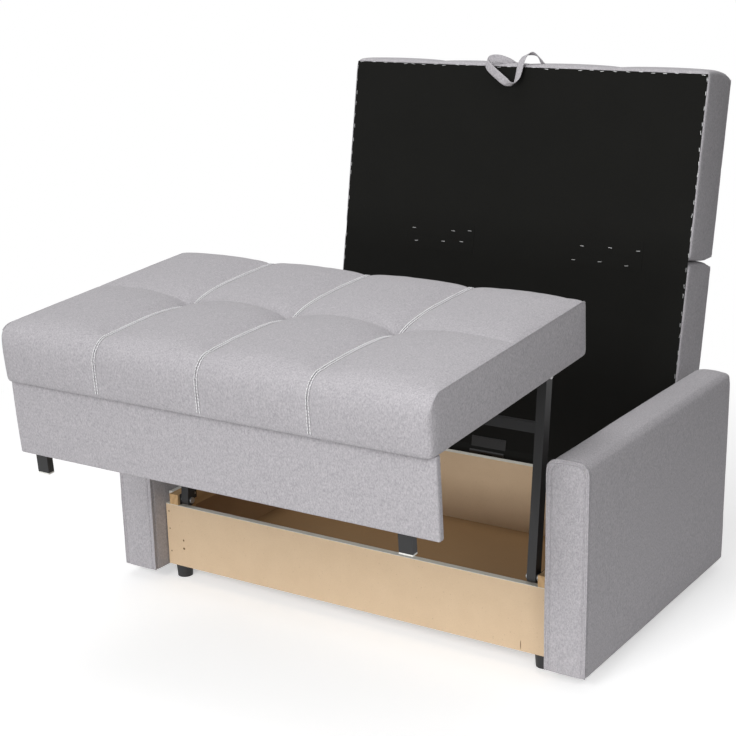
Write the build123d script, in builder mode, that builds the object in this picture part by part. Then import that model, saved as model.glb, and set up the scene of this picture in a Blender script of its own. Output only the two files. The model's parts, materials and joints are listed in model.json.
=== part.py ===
from build123d import *
from math import cos, radians, sin
import os

os.makedirs("parts", exist_ok=True)

# Sizes are in millimetres and angles in degrees. X is right, Y is back, Z is up, and the floor is at zero.
# The sofa bed is drawn half open: the seat is in mid swing on its links and the panel stands behind it.

# Arms
arm_front_y = -347.5
arm_board_gap = 4
arm_thickness = 114
arm_depth = 920
arm_height = 570
arm_lift = 32
arm_top_inner_radius = 20
arm_top_outer_radius = 36
arm_padding = 16
arm_frame_post = 80
arm_frame_rail = 120
arm_frame_top_rail = 60
arm_seam_width = 11
arm_seam_height = 3
arm_bolt_radius = 4
arm_bolt_head_radius = 10
arm_bolt_head_height = 4
arm_bolt_bite = 50
arm_bolt_end_gap = 2
arm_bolt_from_front = 160
arm_bolt_span = 540
arm_bolt_low_z = 80
arm_bolt_high_z = 140
arm_spacer_radius = 14

# Box
box_half_width = 632
box_bottom_z = 38
box_top_z = 260
front_board_from_front = 60
front_board_top_z = 228
board_thickness = 18
side_board_thickness = 16
box_inner_depth = 709
floor_thickness = 5
band_thickness = 1.5
corner_block_size = 40
side_rail_thickness = 20
side_rail_height = 60
pivot_block_thickness = 30
pivot_block_behind_board = 62
rear_rail_bottom_z = 175
rear_rail_top_z = 235
rear_rail_from_side = 32

# Feet
foot_top_radius = 25
foot_bottom_radius = 22
foot_from_side = 37
foot_from_front = 25
foot_from_rear = 35
foot_screw_radius = 2.5
foot_screw_head_radius = 6
foot_screw_head_height = 4
foot_screw_recess = 24
foot_screw_bite = 30

# Links and their lower pivots
link_length = 524
link_lean = 5.5
link_from_side = 68
link_width = 25
link_depth = 31
link_wall = 2
link_board_gap = 1
pivot_from_front = 80
pivot_bolt_radius = 5
pivot_head_radius = 9
pivot_head_height = 5
pivot_plate_thickness = 3
pivot_plate_length = 74
pivot_plate_margin = 1
pivot_plate_front_margin = 2
pivot_bolt_end_gap = 4
plate_screw_radius = 2
plate_screw_head_radius = 4
plate_screw_head_height = 1.5
plate_screw_length = 22
plate_screw_pitch = 20
plate_screw_from_end = 10
plate_screw_end_gap = 2
cross_tube_size = 25
cross_tube_along_link = 385

# Seat
seat_tilt = 3.9
seat_above_pivot = 30
seat_rear_from_pivot = 108
seat_depth = 765
seat_arm_gap = 6
seat_side_height = 143
seat_crown_height = 161
seat_seam_height = 147
seat_channel_height = 141
seat_tuft_height = 118
seat_end_dip = 1.4
bush_radius = 10
bush_length = 7
bracket_thickness = 4
bracket_drop = 16
bracket_half_length = 32
bracket_flange_width = 38
bracket_screw_spread = 20
fascia_setback = 19
fascia_thickness = 20
fascia_height = 202
fascia_cover_thickness = 2
fascia_bracket_leg = 38
fascia_bracket_thickness = 3
fascia_bracket_width = 30
fascia_bracket_inset = 230
leg_width = 37
leg_thickness = 20
leg_left_inset = 50
leg_right_inset = 104
leg_cap_height = 4

# Panel
hinge_behind_box = 47
panel_lean = 10.1
panel_rail_gap = 4
panel_thickness = 179
panel_bed_gap = 1
hinge_to_underside = 9
panel_rear_gap = 12
lower_section_length = 631
upper_section_length = 529
fold_gap = 6
panel_side_height = 164
panel_seam_height = 167
panel_channel_height = 161
panel_tuft_height = 146
knuckle_radius = 5
hinge_pin_radius = 2.5
hinge_leaf_thickness = 3
hinge_leaf_length = 46
hinge_leaf_height = 68
hinge_width = 120
hinge_spread = 420
knuckle_gap = 0.4
hinge_screw_radius = 2.2
hinge_screw_head_radius = 4.2
hinge_screw_head_height = 1.8
hinge_screw_bite = 18
hinge_screw_pitch = 42
hinge_screw_margin = 2
knuckle_share = 1 / 3
stop_spread = 250
stop_width = 24
stop_near = 21
stop_far = 50
stop_gap = 0.3
stop_foot_height = 46
stop_lip = 6
webbing_thickness = 1
webbing_width = 230
webbing_left_x = -230
webbing_right_x = 330
webbing_reach = 42
webbing_split = 0.4
webbing_staple_set_back = 20
webbing_staples = 3
strap_thickness = 1.5
strap_width = 24
strap_centre_x = -30
strap_half_span = 84
strap_sag = 44
strap_gap = 0.9
strap_end_gap = 0.3
strap_end_length = 40

# Upholstery, frames and staples
cushion_wall = 20
cushion_draw_in = 6
cushion_end_inset = 9
cushion_columns = 4
frame_height = 45
frame_bar = 22
frame_cross_bar = 70
slat_height = 12
slat_width = 60
slats_per_row = 9
cloth_thickness = 0.6
cloth_inset = 7
staple_length = 12
staple_width = 1.4
staple_height = 0.5
staple_pitch = 58
staple_inset = 15

# Clearances
run_gap = 0.3
bore_gap = 0.15
overrun = 2

# Shares of a cushion column at which its height is set, with the rise from channel to crown there
column_shares = (0, 0.2, 0.5, 0.8, 1)
rise_shares = (0, 0.78, 1, 0.78, 0)
row_crown_share = 0.25


def tilted(at_y, at_z, tilt):
    lean = radians(tilt)
    return Plane(origin=(0, at_y, at_z), x_dir=(1, 0, 0), z_dir=(0, -sin(lean), cos(lean)))


def side_view(frame, at_x=0):
    return Plane(origin=frame.origin + frame.x_dir * at_x, x_dir=frame.y_dir, z_dir=frame.x_dir)


def front_view(frame, at_y=0):
    return Plane(origin=frame.origin + frame.y_dir * at_y, x_dir=frame.x_dir, z_dir=-frame.y_dir)


def slab(x, y, z, mode=Mode.ADD):
    with Locations(((x[0] + x[1]) / 2, (y[0] + y[1]) / 2, (z[0] + z[1]) / 2)):
        Box(abs(x[1] - x[0]), abs(y[1] - y[0]), abs(z[1] - z[0]), mode=mode)


def hollow_bars(x, y, z, bar):
    slab(x, y, z)
    slab((x[0] + bar, x[1] - bar), (y[0] + bar, y[1] - bar), z, mode=Mode.SUBTRACT)


def rod(frame, spot, x_from, x_to, radius, mode=Mode.ADD):
    with BuildSketch(side_view(frame, x_from)) as end:
        with Locations(spot):
            Circle(radius)
    extrude(end.sketch, amount=x_to - x_from, mode=mode)


def studs(plane, spots, radius, length, mode=Mode.ADD):
    with BuildSketch(plane) as ends:
        with Locations(*spots):
            Circle(radius)
    extrude(ends.sketch, amount=length, mode=mode)


def keep(builder, name):
    builder.part.label = name
    export_step(builder.part, "parts/" + name + ".step")


ground = Plane.XY
sides = (("left", -1), ("right", 1))

# Places that several pieces share
arm_rear_y = arm_front_y + arm_depth
arm_inner_x = box_half_width + arm_board_gap
arm_top_z = arm_lift + arm_height
front_board_y = arm_front_y + front_board_from_front
box_front_y = front_board_y + board_thickness
box_rear_y = box_front_y + box_inner_depth
side_board_inner_x = box_half_width - side_board_thickness
rail_inner_x = side_board_inner_x - side_rail_thickness
block_inner_x = side_board_inner_x - pivot_block_thickness
rail_bottom_z = box_top_z - side_rail_height
floor_top_z = box_bottom_z + floor_thickness
pivot_y = arm_front_y + pivot_from_front
pivot_z = front_board_top_z + link_depth / 2 + link_board_gap
link_outer_x = box_half_width - link_from_side + link_width / 2
link_inner_x = link_outer_x - link_width
plate_inner_x = block_inner_x - pivot_plate_thickness
upper_pivot_y = pivot_y + link_length * sin(radians(link_lean))
upper_pivot_z = pivot_z + link_length * cos(radians(link_lean))
seat_half_width = arm_inner_x - seat_arm_gap
panel_half_width = rail_inner_x - panel_rail_gap
hinge_y = box_rear_y + board_thickness + hinge_behind_box
hinge_z = box_top_z + panel_bed_gap - hinge_to_underside
rear_rail_half_width = box_half_width - rear_rail_from_side
rear_rail_rear_y = hinge_y - knuckle_radius
hinge_xs = (-hinge_spread, 0, hinge_spread)

# Frames of the moving groups: along the link, level with the seat, and the panel as it lies in the bed
link_frame = tilted(pivot_y, pivot_z, -link_lean)
seat_plane = tilted(upper_pivot_y, upper_pivot_z, seat_tilt)
panel_plane = tilted(hinge_y, hinge_z, -90 - panel_lean)

# Box boards
with BuildPart() as box_front_board:
    slab((-box_half_width, box_half_width), (front_board_y, box_front_y),
         (box_bottom_z, front_board_top_z - band_thickness))
keep(box_front_board, "box_front_board")

with BuildPart() as box_back_board:
    slab((-box_half_width, box_half_width), (box_rear_y, box_rear_y + board_thickness),
         (box_bottom_z, box_top_z - band_thickness))
keep(box_back_board, "box_back_board")

with BuildPart() as box_edge_bands:
    slab((-box_half_width, box_half_width), (front_board_y, box_front_y),
         (front_board_top_z - band_thickness, front_board_top_z))
    slab((-box_half_width, box_half_width), (box_rear_y, box_rear_y + board_thickness),
         (box_top_z - band_thickness, box_top_z))
keep(box_edge_bands, "box_edge_bands")

foot_x = box_half_width - foot_from_side
foot_ys = (front_board_y + foot_from_front, box_rear_y + board_thickness - foot_from_rear)
foot_spots = [(sign * foot_x, y) for sign in (-1, 1) for y in foot_ys]

with BuildPart() as box_floor_panel:
    slab((-side_board_inner_x, side_board_inner_x), (box_front_y, box_rear_y), (box_bottom_z, floor_top_z))
    studs(ground.offset(box_bottom_z - overrun), foot_spots, foot_screw_radius + bore_gap,
          floor_thickness + 2 * overrun, mode=Mode.SUBTRACT)
keep(box_floor_panel, "box_floor_panel")

with BuildPart() as box_corner_blocks:
    for sign in (-1, 1):
        x = (sign * (side_board_inner_x - corner_block_size), sign * side_board_inner_x)
        slab(x, (box_front_y, box_front_y + corner_block_size), (floor_top_z, rail_bottom_z))
        slab(x, (box_rear_y - corner_block_size, box_rear_y), (floor_top_z, rail_bottom_z))
    studs(ground.offset(floor_top_z - overrun), foot_spots, foot_screw_radius + bore_gap,
          foot_screw_bite + 2 * overrun, mode=Mode.SUBTRACT)
keep(box_corner_blocks, "box_corner_blocks")

# Feet and their screws
with BuildPart() as box_feet:
    with BuildSketch(ground) as foot_soles:
        with Locations(*foot_spots):
            Circle(foot_bottom_radius)
    with BuildSketch(ground.offset(box_bottom_z)) as foot_tops:
        with Locations(*foot_spots):
            Circle(foot_top_radius)
    for sole, top in zip(foot_soles.sketch.faces().sort_by(Axis.X).sort_by(Axis.Y),
                         foot_tops.sketch.faces().sort_by(Axis.X).sort_by(Axis.Y)):
        loft(sections=[sole, top])
    studs(ground, foot_spots, foot_screw_head_radius + run_gap, foot_screw_recess, mode=Mode.SUBTRACT)
    studs(ground, foot_spots, foot_screw_radius + bore_gap, box_bottom_z, mode=Mode.SUBTRACT)
keep(box_feet, "box_feet")

with BuildPart() as foot_screws:
    studs(ground.offset(foot_screw_recess - foot_screw_head_height), foot_spots, foot_screw_head_radius,
          foot_screw_head_height)
    studs(ground.offset(foot_screw_recess), foot_spots, foot_screw_radius,
          floor_top_z - foot_screw_recess + foot_screw_bite)
keep(foot_screws, "foot_screws")

# Side boards, bolted to the arms through short spacers
arm_bolt_ys = (arm_front_y + arm_bolt_from_front, arm_front_y + arm_bolt_from_front + arm_bolt_span)
arm_bolt_spots = [(y, z) for y in arm_bolt_ys for z in (arm_bolt_low_z, arm_bolt_high_z)]

with BuildPart() as box_side_boards:
    for sign in (-1, 1):
        slab((sign * side_board_inner_x, sign * box_half_width), (box_front_y, box_rear_y),
             (box_bottom_z, box_top_z))
        for spot in arm_bolt_spots:
            rod(ground, spot, sign * (side_board_inner_x - overrun), sign * (box_half_width + overrun),
                arm_bolt_radius + bore_gap, mode=Mode.SUBTRACT)
keep(box_side_boards, "box_side_boards")

with BuildPart() as box_side_rails:
    for sign in (-1, 1):
        slab((sign * rail_inner_x, sign * side_board_inner_x),
             (box_front_y + pivot_block_behind_board, box_rear_y), (rail_bottom_z, box_top_z))
keep(box_side_rails, "box_side_rails")

with BuildPart() as box_rear_rail:
    slab((-rear_rail_half_width, rear_rail_half_width), (box_rear_y + board_thickness, rear_rail_rear_y),
         (rear_rail_bottom_z, rear_rail_top_z))
    leaf_screw_z = (rear_rail_bottom_z + rear_rail_top_z) / 2
    fixed_screw_spots = [(x + shift, leaf_screw_z) for x in hinge_xs
                         for shift in (-hinge_screw_pitch, 0, hinge_screw_pitch)]
    studs(front_view(ground, rear_rail_rear_y + overrun), fixed_screw_spots, hinge_screw_radius + bore_gap,
          hinge_screw_bite + 2 * overrun, mode=Mode.SUBTRACT)
keep(box_rear_rail, "box_rear_rail")

# Pivot blocks and plates at the front ends of the side rails
plate_front_y = pivot_y - pivot_head_radius - pivot_plate_front_margin
plate_y = (plate_front_y, plate_front_y + pivot_plate_length)
plate_screw_y = plate_y[1] - plate_screw_from_end
plate_screw_spots = [(plate_screw_y, pivot_z), (plate_screw_y - plate_screw_pitch, pivot_z)]
pivot_bolt_end_x = side_board_inner_x - pivot_bolt_end_gap

with BuildPart() as pivot_blocks:
    for sign in (-1, 1):
        x = (sign * block_inner_x, sign * side_board_inner_x)
        slab(x, (front_board_y, box_front_y + pivot_block_behind_board), (front_board_top_z, box_top_z))
        slab(x, (box_front_y, box_front_y + pivot_block_behind_board), (rail_bottom_z, front_board_top_z))
        rod(ground, (pivot_y, pivot_z), sign * (block_inner_x - overrun), sign * (side_board_inner_x + overrun),
            pivot_bolt_radius + bore_gap, mode=Mode.SUBTRACT)
        for spot in plate_screw_spots:
            rod(ground, spot, sign * (block_inner_x - overrun), sign * (block_inner_x + plate_screw_length),
                plate_screw_radius + bore_gap, mode=Mode.SUBTRACT)
keep(pivot_blocks, "pivot_blocks")

with BuildPart() as pivot_plates:
    for sign in (-1, 1):
        slab((sign * plate_inner_x, sign * block_inner_x), plate_y,
             (front_board_top_z + pivot_plate_margin, box_top_z - pivot_plate_margin))
        rod(ground, (pivot_y, pivot_z), sign * (plate_inner_x - overrun), sign * (block_inner_x + overrun),
            pivot_bolt_radius + bore_gap, mode=Mode.SUBTRACT)
        for spot in plate_screw_spots:
            rod(ground, spot, sign * (plate_inner_x - overrun), sign * (block_inner_x + overrun),
                plate_screw_radius + bore_gap, mode=Mode.SUBTRACT)
keep(pivot_plates, "pivot_plates")

with BuildPart() as pivot_plate_screws:
    for sign in (-1, 1):
        for spot in plate_screw_spots:
            rod(ground, spot, sign * (plate_inner_x - plate_screw_head_height), sign * plate_inner_x,
                plate_screw_head_radius)
            rod(ground, spot, sign * plate_inner_x,
                sign * (block_inner_x + plate_screw_length - plate_screw_end_gap), plate_screw_radius)
keep(pivot_plate_screws, "pivot_plate_screws")

# Arms


def arm_outline(sign, inset, foot):
    """Outline of an arm from the front, inset from its sides and top, down to the foot height."""
    low_x = arm_inner_x + inset
    high_x = arm_inner_x + arm_thickness - inset
    top_z = arm_top_z - inset
    with Locations((sign * (low_x + high_x) / 2, (foot + top_z) / 2)):
        Rectangle(high_x - low_x, top_z - foot)
    corners = vertices().group_by(Axis.Y)[-1].sort_by(Axis.X)
    inner, outer = (corners[0], corners[-1]) if sign > 0 else (corners[-1], corners[0])
    fillet(inner, arm_top_inner_radius - inset)
    outer = vertices().sort_by_distance(outer)[0]
    fillet(outer, arm_top_outer_radius - inset)


for side, sign in sides:
    core_x = (sign * (arm_inner_x + arm_padding), sign * (arm_inner_x + arm_thickness - arm_padding))
    core_y = (arm_front_y + arm_padding, arm_rear_y - arm_padding)
    core_z = (arm_lift + arm_padding, arm_top_z - arm_padding)

    with BuildPart() as arm_cover:
        with BuildSketch(front_view(ground, arm_front_y)):
            arm_outline(sign, 0, arm_lift)
        extrude(amount=-arm_depth)
        slab(core_x, core_y, core_z, mode=Mode.SUBTRACT)
        for spot in arm_bolt_spots:
            rod(ground, spot, sign * (arm_inner_x - overrun), sign * (arm_inner_x + arm_padding + overrun),
                arm_bolt_radius + bore_gap, mode=Mode.SUBTRACT)
    keep(arm_cover, "arm_cover_" + side)

    with BuildPart() as arm_frame:
        slab(core_x, core_y, core_z)
        slab(core_x, (core_y[0] + arm_frame_post, core_y[1] - arm_frame_post),
             (core_z[0] + arm_frame_rail, core_z[1] - arm_frame_top_rail), mode=Mode.SUBTRACT)
        for spot in arm_bolt_spots:
            rod(ground, spot, core_x[0] - sign * overrun, sign * (arm_inner_x + arm_bolt_bite),
                arm_bolt_radius + bore_gap, mode=Mode.SUBTRACT)
    keep(arm_frame, "arm_frame_" + side)

    with BuildPart() as arm_seam:
        with BuildSketch(front_view(ground, arm_front_y)) as seam_band:
            arm_outline(sign, 0, arm_lift)
            with BuildSketch(mode=Mode.PRIVATE) as seam_hole:
                arm_outline(sign, arm_seam_width, arm_lift - overrun)
            add(seam_hole.sketch, mode=Mode.SUBTRACT)
        extrude(amount=arm_seam_height)
    keep(arm_seam, "arm_seam_" + side)

with BuildPart() as arm_bolts:
    for sign in (-1, 1):
        for spot in arm_bolt_spots:
            rod(ground, spot, sign * (side_board_inner_x - arm_bolt_head_height), sign * side_board_inner_x,
                arm_bolt_head_radius)
            rod(ground, spot, sign * side_board_inner_x, sign * (arm_inner_x + arm_bolt_bite - arm_bolt_end_gap),
                arm_bolt_radius)
keep(arm_bolts, "arm_bolts")

with BuildPart() as arm_spacers:
    for sign in (-1, 1):
        for spot in arm_bolt_spots:
            rod(ground, spot, sign * box_half_width, sign * arm_inner_x, arm_spacer_radius)
            rod(ground, spot, sign * (box_half_width - overrun), sign * (arm_inner_x + overrun),
                arm_bolt_radius + bore_gap, mode=Mode.SUBTRACT)
keep(arm_spacers, "arm_spacers")

# Lower pivot bolts and washers
with BuildPart() as lower_pivot_bolts:
    for sign in (-1, 1):
        head_x = link_inner_x - run_gap
        rod(ground, (pivot_y, pivot_z), sign * (head_x - pivot_head_height), sign * head_x, pivot_head_radius)
        rod(ground, (pivot_y, pivot_z), sign * head_x, sign * pivot_bolt_end_x, pivot_bolt_radius)
keep(lower_pivot_bolts, "lower_pivot_bolts")

with BuildPart() as lower_pivot_washers:
    for sign in (-1, 1):
        near_x = sign * (link_outer_x + run_gap)
        far_x = sign * (plate_inner_x - run_gap)
        rod(ground, (pivot_y, pivot_z), near_x, far_x, pivot_head_radius)
        rod(ground, (pivot_y, pivot_z), near_x, far_x, pivot_bolt_radius, mode=Mode.SUBTRACT)
keep(lower_pivot_washers, "lower_pivot_washers")

# Link tubes with rounded ends, and the cross tube that carries the panel in the bed, with the strap between them
for side, sign in sides:
    with BuildPart() as link_tube:
        with BuildSketch(side_view(link_frame, sign * link_inner_x)):
            with Locations((0, link_length / 2)):
                SlotCenterToCenter(link_length, link_depth, rotation=90)
        extrude(amount=sign * link_width)
        with BuildSketch(side_view(link_frame, sign * (link_inner_x + link_wall))):
            with Locations((0, link_length / 2)):
                SlotCenterToCenter(link_length, link_depth - 2 * link_wall, rotation=90)
        extrude(amount=sign * (link_width - 2 * link_wall), mode=Mode.SUBTRACT)
        for spot in ((0, 0), (0, link_length)):
            rod(link_frame, spot, sign * (link_inner_x - overrun), sign * (link_outer_x + overrun),
                pivot_bolt_radius + bore_gap, mode=Mode.SUBTRACT)
    keep(link_tube, "link_tube_" + side)

bed_swing = 90 + seat_end_dip
bed_tube_z = pivot_z + cross_tube_along_link * cos(radians(bed_swing))
strap_room = strap_gap + strap_thickness + run_gap
cross_tube_back = box_top_z + panel_bed_gap - bed_tube_z - strap_room
cross_tube_y = (cross_tube_back - cross_tube_size, cross_tube_back)
cross_tube_z = (cross_tube_along_link - cross_tube_size / 2, cross_tube_along_link + cross_tube_size / 2)

with BuildPart(link_frame) as cross_tube:
    slab((-link_inner_x, link_inner_x), cross_tube_y, cross_tube_z)
    slab((-link_inner_x, link_inner_x), (cross_tube_y[0] + link_wall, cross_tube_y[1] - link_wall),
         (cross_tube_z[0] + link_wall, cross_tube_z[1] - link_wall), mode=Mode.SUBTRACT)
keep(cross_tube, "cross_tube")

# Upper pivots: a bolt through each link, a bush on it, and the seat's bracket on the bush
bush_outer_x = link_inner_x - run_gap
bush_inner_x = bush_outer_x - bush_length
bracket_inner_x = bush_inner_x + (bush_length - bracket_thickness) / 2
bracket_outer_x = bracket_inner_x + bracket_thickness

with BuildPart() as upper_pivot_bolts:
    for sign in (-1, 1):
        rod(seat_plane, (0, 0), sign * (bush_inner_x - run_gap - pivot_head_height),
            sign * (bush_inner_x - run_gap), pivot_head_radius)
        rod(seat_plane, (0, 0), sign * (bush_inner_x - run_gap), sign * (link_outer_x + run_gap),
            pivot_bolt_radius)
        rod(seat_plane, (0, 0), sign * (link_outer_x + run_gap),
            sign * (link_outer_x + run_gap + pivot_head_height), pivot_head_radius)
keep(upper_pivot_bolts, "upper_pivot_bolts")

with BuildPart() as upper_pivot_bushes:
    for sign in (-1, 1):
        rod(seat_plane, (0, 0), sign * bush_inner_x, sign * bush_outer_x, bush_radius)
        rod(seat_plane, (0, 0), sign * (bush_inner_x - overrun), sign * (bush_outer_x + overrun),
            pivot_bolt_radius + bore_gap, mode=Mode.SUBTRACT)
keep(upper_pivot_bushes, "upper_pivot_bushes")

cloth_under_seat = seat_above_pivot - cloth_thickness
flange_x = (bracket_outer_x - bracket_flange_width, bracket_outer_x)
bracket_screw_x = (flange_x[0] + bracket_inner_x) / 2
bracket_screw_spots = [(sign * bracket_screw_x, y) for sign in (-1, 1)
                       for y in (-bracket_screw_spread, bracket_screw_spread)]
flange_bottom = cloth_under_seat - fascia_bracket_thickness

with BuildPart(seat_plane) as seat_brackets:
    for sign in (-1, 1):
        slab((sign * bracket_inner_x, sign * bracket_outer_x), (-bracket_half_length, bracket_half_length),
             (-bracket_drop, cloth_under_seat))
        slab((sign * flange_x[0], sign * flange_x[1]), (-bracket_half_length, bracket_half_length),
             (flange_bottom, cloth_under_seat))
        rod(seat_plane, (0, 0), sign * (bracket_inner_x - overrun), sign * (bracket_outer_x + overrun),
            bush_radius + bore_gap, mode=Mode.SUBTRACT)
    studs(seat_plane.offset(flange_bottom - overrun), bracket_screw_spots, plate_screw_radius + bore_gap,
          fascia_bracket_thickness + 2 * overrun, mode=Mode.SUBTRACT)
keep(seat_brackets, "seat_brackets")


# Cushions, frames, slats, cloths and staples of the seat and of both panel sections


def tufted_cushion(frame, half_width, y, base, heights, cavity_height):
    """Cushion of puffed columns in two rows, hollow below for its frame. Heights stand on its base."""
    side, crown, seam, channel, tuft = [base + height for height in heights]
    pitch = 2 * half_width / cushion_columns
    with BuildPart() as cushion:
        for column in range(cushion_columns):
            for share, rise in zip(column_shares, rise_shares):
                at_end = (column == 0 and share == 0) or (column == cushion_columns - 1 and share == 1)
                inset = cushion_end_inset if at_end else 0
                near, far = y[0] + inset, y[1] - inset
                edge = side - inset
                top = edge + inset / 2 if at_end else channel + (crown - channel) * rise
                dip = edge if at_end else tuft + (seam - tuft) * rise
                middle = (near + far) / 2
                quarter = (far - near) * row_crown_share
                half_height = (base + edge) / 2
                with BuildSketch(side_view(frame, -half_width + (column + share) * pitch)):
                    with BuildLine():
                        Line((far - cushion_draw_in, base), (near + cushion_draw_in, base))
                        ThreePointArc((near + cushion_draw_in, base), (near, half_height),
                                      (near + cushion_draw_in, edge))
                        ThreePointArc((near + cushion_draw_in, edge), (near + quarter, top), (middle, dip))
                        ThreePointArc((middle, dip), (far - quarter, top), (far - cushion_draw_in, edge))
                        ThreePointArc((far - cushion_draw_in, edge), (far, half_height),
                                      (far - cushion_draw_in, base))
                    make_face()
            loft()
        with BuildSketch(frame.offset(base)):
            with Locations((0, (y[0] + y[1]) / 2)):
                Rectangle(2 * (half_width - cushion_wall), y[1] - y[0] - 2 * cushion_wall)
        extrude(amount=cavity_height, mode=Mode.SUBTRACT)
    return cushion


def inner_frame(frame, half_width, y, base, cross_y=None):
    with BuildPart(frame) as bars:
        x = (cushion_wall - half_width, half_width - cushion_wall)
        z = (base, base + frame_height)
        hollow_bars(x, (y[0] + cushion_wall, y[1] - cushion_wall), z, frame_bar)
        slab((-frame_bar / 2, frame_bar / 2), (y[0] + cushion_wall, y[1] - cushion_wall), z)
        if cross_y:
            slab(x, cross_y, z)
    return bars


def slat_row(frame, half_width, y, base):
    reach = half_width - cushion_wall - slat_width / 2
    with BuildPart(frame) as slats:
        with Locations((0, (y[0] + y[1]) / 2, base + frame_height + slat_height / 2)):
            with GridLocations(2 * reach / (slats_per_row - 1), 0, slats_per_row, 1):
                Box(slat_width, y[1] - y[0] - 2 * cushion_wall, slat_height)
    return slats


def under_cloth(frame, half_width, y, base):
    with BuildPart(frame) as cloth:
        slab((cloth_inset - half_width, half_width - cloth_inset), (y[0] + cloth_inset, y[1] - cloth_inset),
             (base - cloth_thickness, base))
    return cloth


def even_run(low, high):
    count = int((high - low) / staple_pitch)
    return [low + (high - low) * (step + 1) / (count + 1) for step in range(count)]


def edge_staples(frame, half_width, y, base, taken_front=(), taken_rear=(), webbing_staple_y=None):
    """Staple crowns round the cloth's edge, but not where something lies on it, and those of the webbing."""
    run_x = half_width - staple_inset
    edges = ((y[0] + staple_inset, taken_front), (y[1] - staple_inset, taken_rear))
    rows = [(x, edge_y) for edge_y, taken in edges for x in even_run(-run_x, run_x)
            if not any(low - staple_length < x < high + staple_length for low, high in taken)]
    columns = [(x, edge_y) for x in (-run_x, run_x) for edge_y in even_run(edges[0][0], edges[1][0])]
    with BuildPart(frame) as staples:
        crown_z = base - cloth_thickness - staple_height / 2
        with Locations(*[(x, edge_y, crown_z) for x, edge_y in rows]):
            Box(staple_length, staple_width, staple_height)
        with Locations(*[(x, edge_y, crown_z) for x, edge_y in columns]):
            Box(staple_width, staple_length, staple_height)
        if webbing_staple_y:
            for x in (webbing_left_x, webbing_right_x):
                with Locations((x, webbing_staple_y, webbing_z[0] - staple_height / 2)):
                    with GridLocations(webbing_width / webbing_staples, 0, webbing_staples, 1):
                        Box(staple_length, staple_width, staple_height)
    return staples


cavity_height = frame_height + slat_height
seat_y = (seat_rear_from_pivot - seat_depth, seat_rear_from_pivot)
seat_cross_y = (-frame_cross_bar / 2, frame_cross_bar / 2)
seat_heights = (seat_side_height, seat_crown_height, seat_seam_height, seat_channel_height, seat_tuft_height)
keep(tufted_cushion(seat_plane, seat_half_width, seat_y, seat_above_pivot, seat_heights, cavity_height),
     "seat_cushion")
keep(inner_frame(seat_plane, seat_half_width, seat_y, seat_above_pivot, seat_cross_y), "seat_frame")
keep(slat_row(seat_plane, seat_half_width, seat_y, seat_above_pivot), "seat_slats")

panel_base = hinge_to_underside + cloth_thickness
lower_y = (-panel_rear_gap - lower_section_length, -panel_rear_gap)
upper_y = (lower_y[0] - fold_gap - upper_section_length, lower_y[0] - fold_gap)
panel_heights = (panel_side_height - cloth_thickness, panel_thickness - cloth_thickness,
                 panel_seam_height, panel_channel_height, panel_tuft_height)
fold_y = lower_y[0] - fold_gap / 2
webbing_z = (hinge_to_underside - webbing_thickness, hinge_to_underside)
under_webbing = [(x - webbing_width / 2, x + webbing_width / 2) for x in (webbing_left_x, webbing_right_x)]
under_leaves = [(x - hinge_width / 2, x + hinge_width / 2) for x in hinge_xs]
under_strap = [(strap_centre_x - strap_half_span - strap_width, strap_centre_x + strap_half_span + strap_width)]
for section, y, front_taken, rear_taken, staple_y in (
        ("lower", lower_y, under_webbing, under_leaves, fold_y + webbing_staple_set_back),
        ("upper", upper_y, under_strap, under_webbing, fold_y - webbing_staple_set_back)):
    name = section + "_panel_"
    keep(tufted_cushion(panel_plane, panel_half_width, y, panel_base, panel_heights, cavity_height),
         name + "cushion")
    keep(inner_frame(panel_plane, panel_half_width, y, panel_base), name + "frame")
    keep(slat_row(panel_plane, panel_half_width, y, panel_base), name + "slats")
    keep(under_cloth(panel_plane, panel_half_width, y, panel_base), name + "cloth")
    keep(edge_staples(panel_plane, panel_half_width, y, panel_base, front_taken, rear_taken, staple_y),
         name + "staples")

# Seat fascia, legs and the brackets that hold the fascia under the seat frame
fascia_y = (seat_y[0] + fascia_setback, seat_y[0] + fascia_setback + fascia_thickness)
fascia_z = (seat_above_pivot - fascia_height, seat_above_pivot)
seat_cloth_y = (fascia_y[1] - cloth_inset, seat_y[1])
bracket_xs = (fascia_bracket_inset - seat_half_width, 0, seat_half_width - fascia_bracket_inset)
leg_xs = (leg_left_inset - seat_half_width, seat_half_width - leg_right_inset)
under_legs = [(x - leg_width / 2, x + leg_width / 2) for x in leg_xs]
under_brackets = [(x - fascia_bracket_width / 2, x + fascia_bracket_width / 2) for x in bracket_xs]
keep(under_cloth(seat_plane, seat_half_width, seat_cloth_y, seat_above_pivot), "seat_cloth")
keep(edge_staples(seat_plane, seat_half_width, seat_cloth_y, seat_above_pivot, under_legs + under_brackets),
     "seat_staples")

board_x = (fascia_cover_thickness - seat_half_width, seat_half_width - fascia_cover_thickness)
board_y = (fascia_y[0] + fascia_cover_thickness, fascia_y[1] - fascia_cover_thickness)
board_z = (fascia_z[0] + fascia_cover_thickness, fascia_z[1] - fascia_cover_thickness)

leg_y = (fascia_y[1], fascia_y[1] + leg_thickness)
leg_sole_z = -(pivot_z - link_length * sin(radians(seat_end_dip)))

with BuildPart(seat_plane) as fascia_board:
    slab(board_x, board_y, board_z)
keep(fascia_board, "seat_fascia_board")

with BuildPart(seat_plane) as fascia_cover:
    slab((-seat_half_width, seat_half_width), fascia_y, fascia_z)
    slab(board_x, board_y, board_z, mode=Mode.SUBTRACT)
keep(fascia_cover, "seat_fascia_cover")

with BuildPart(seat_plane) as seat_legs:
    for x in leg_xs:
        slab((x - leg_width / 2, x + leg_width / 2), leg_y, (leg_sole_z + leg_cap_height, cloth_under_seat))
keep(seat_legs, "seat_legs")

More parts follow.
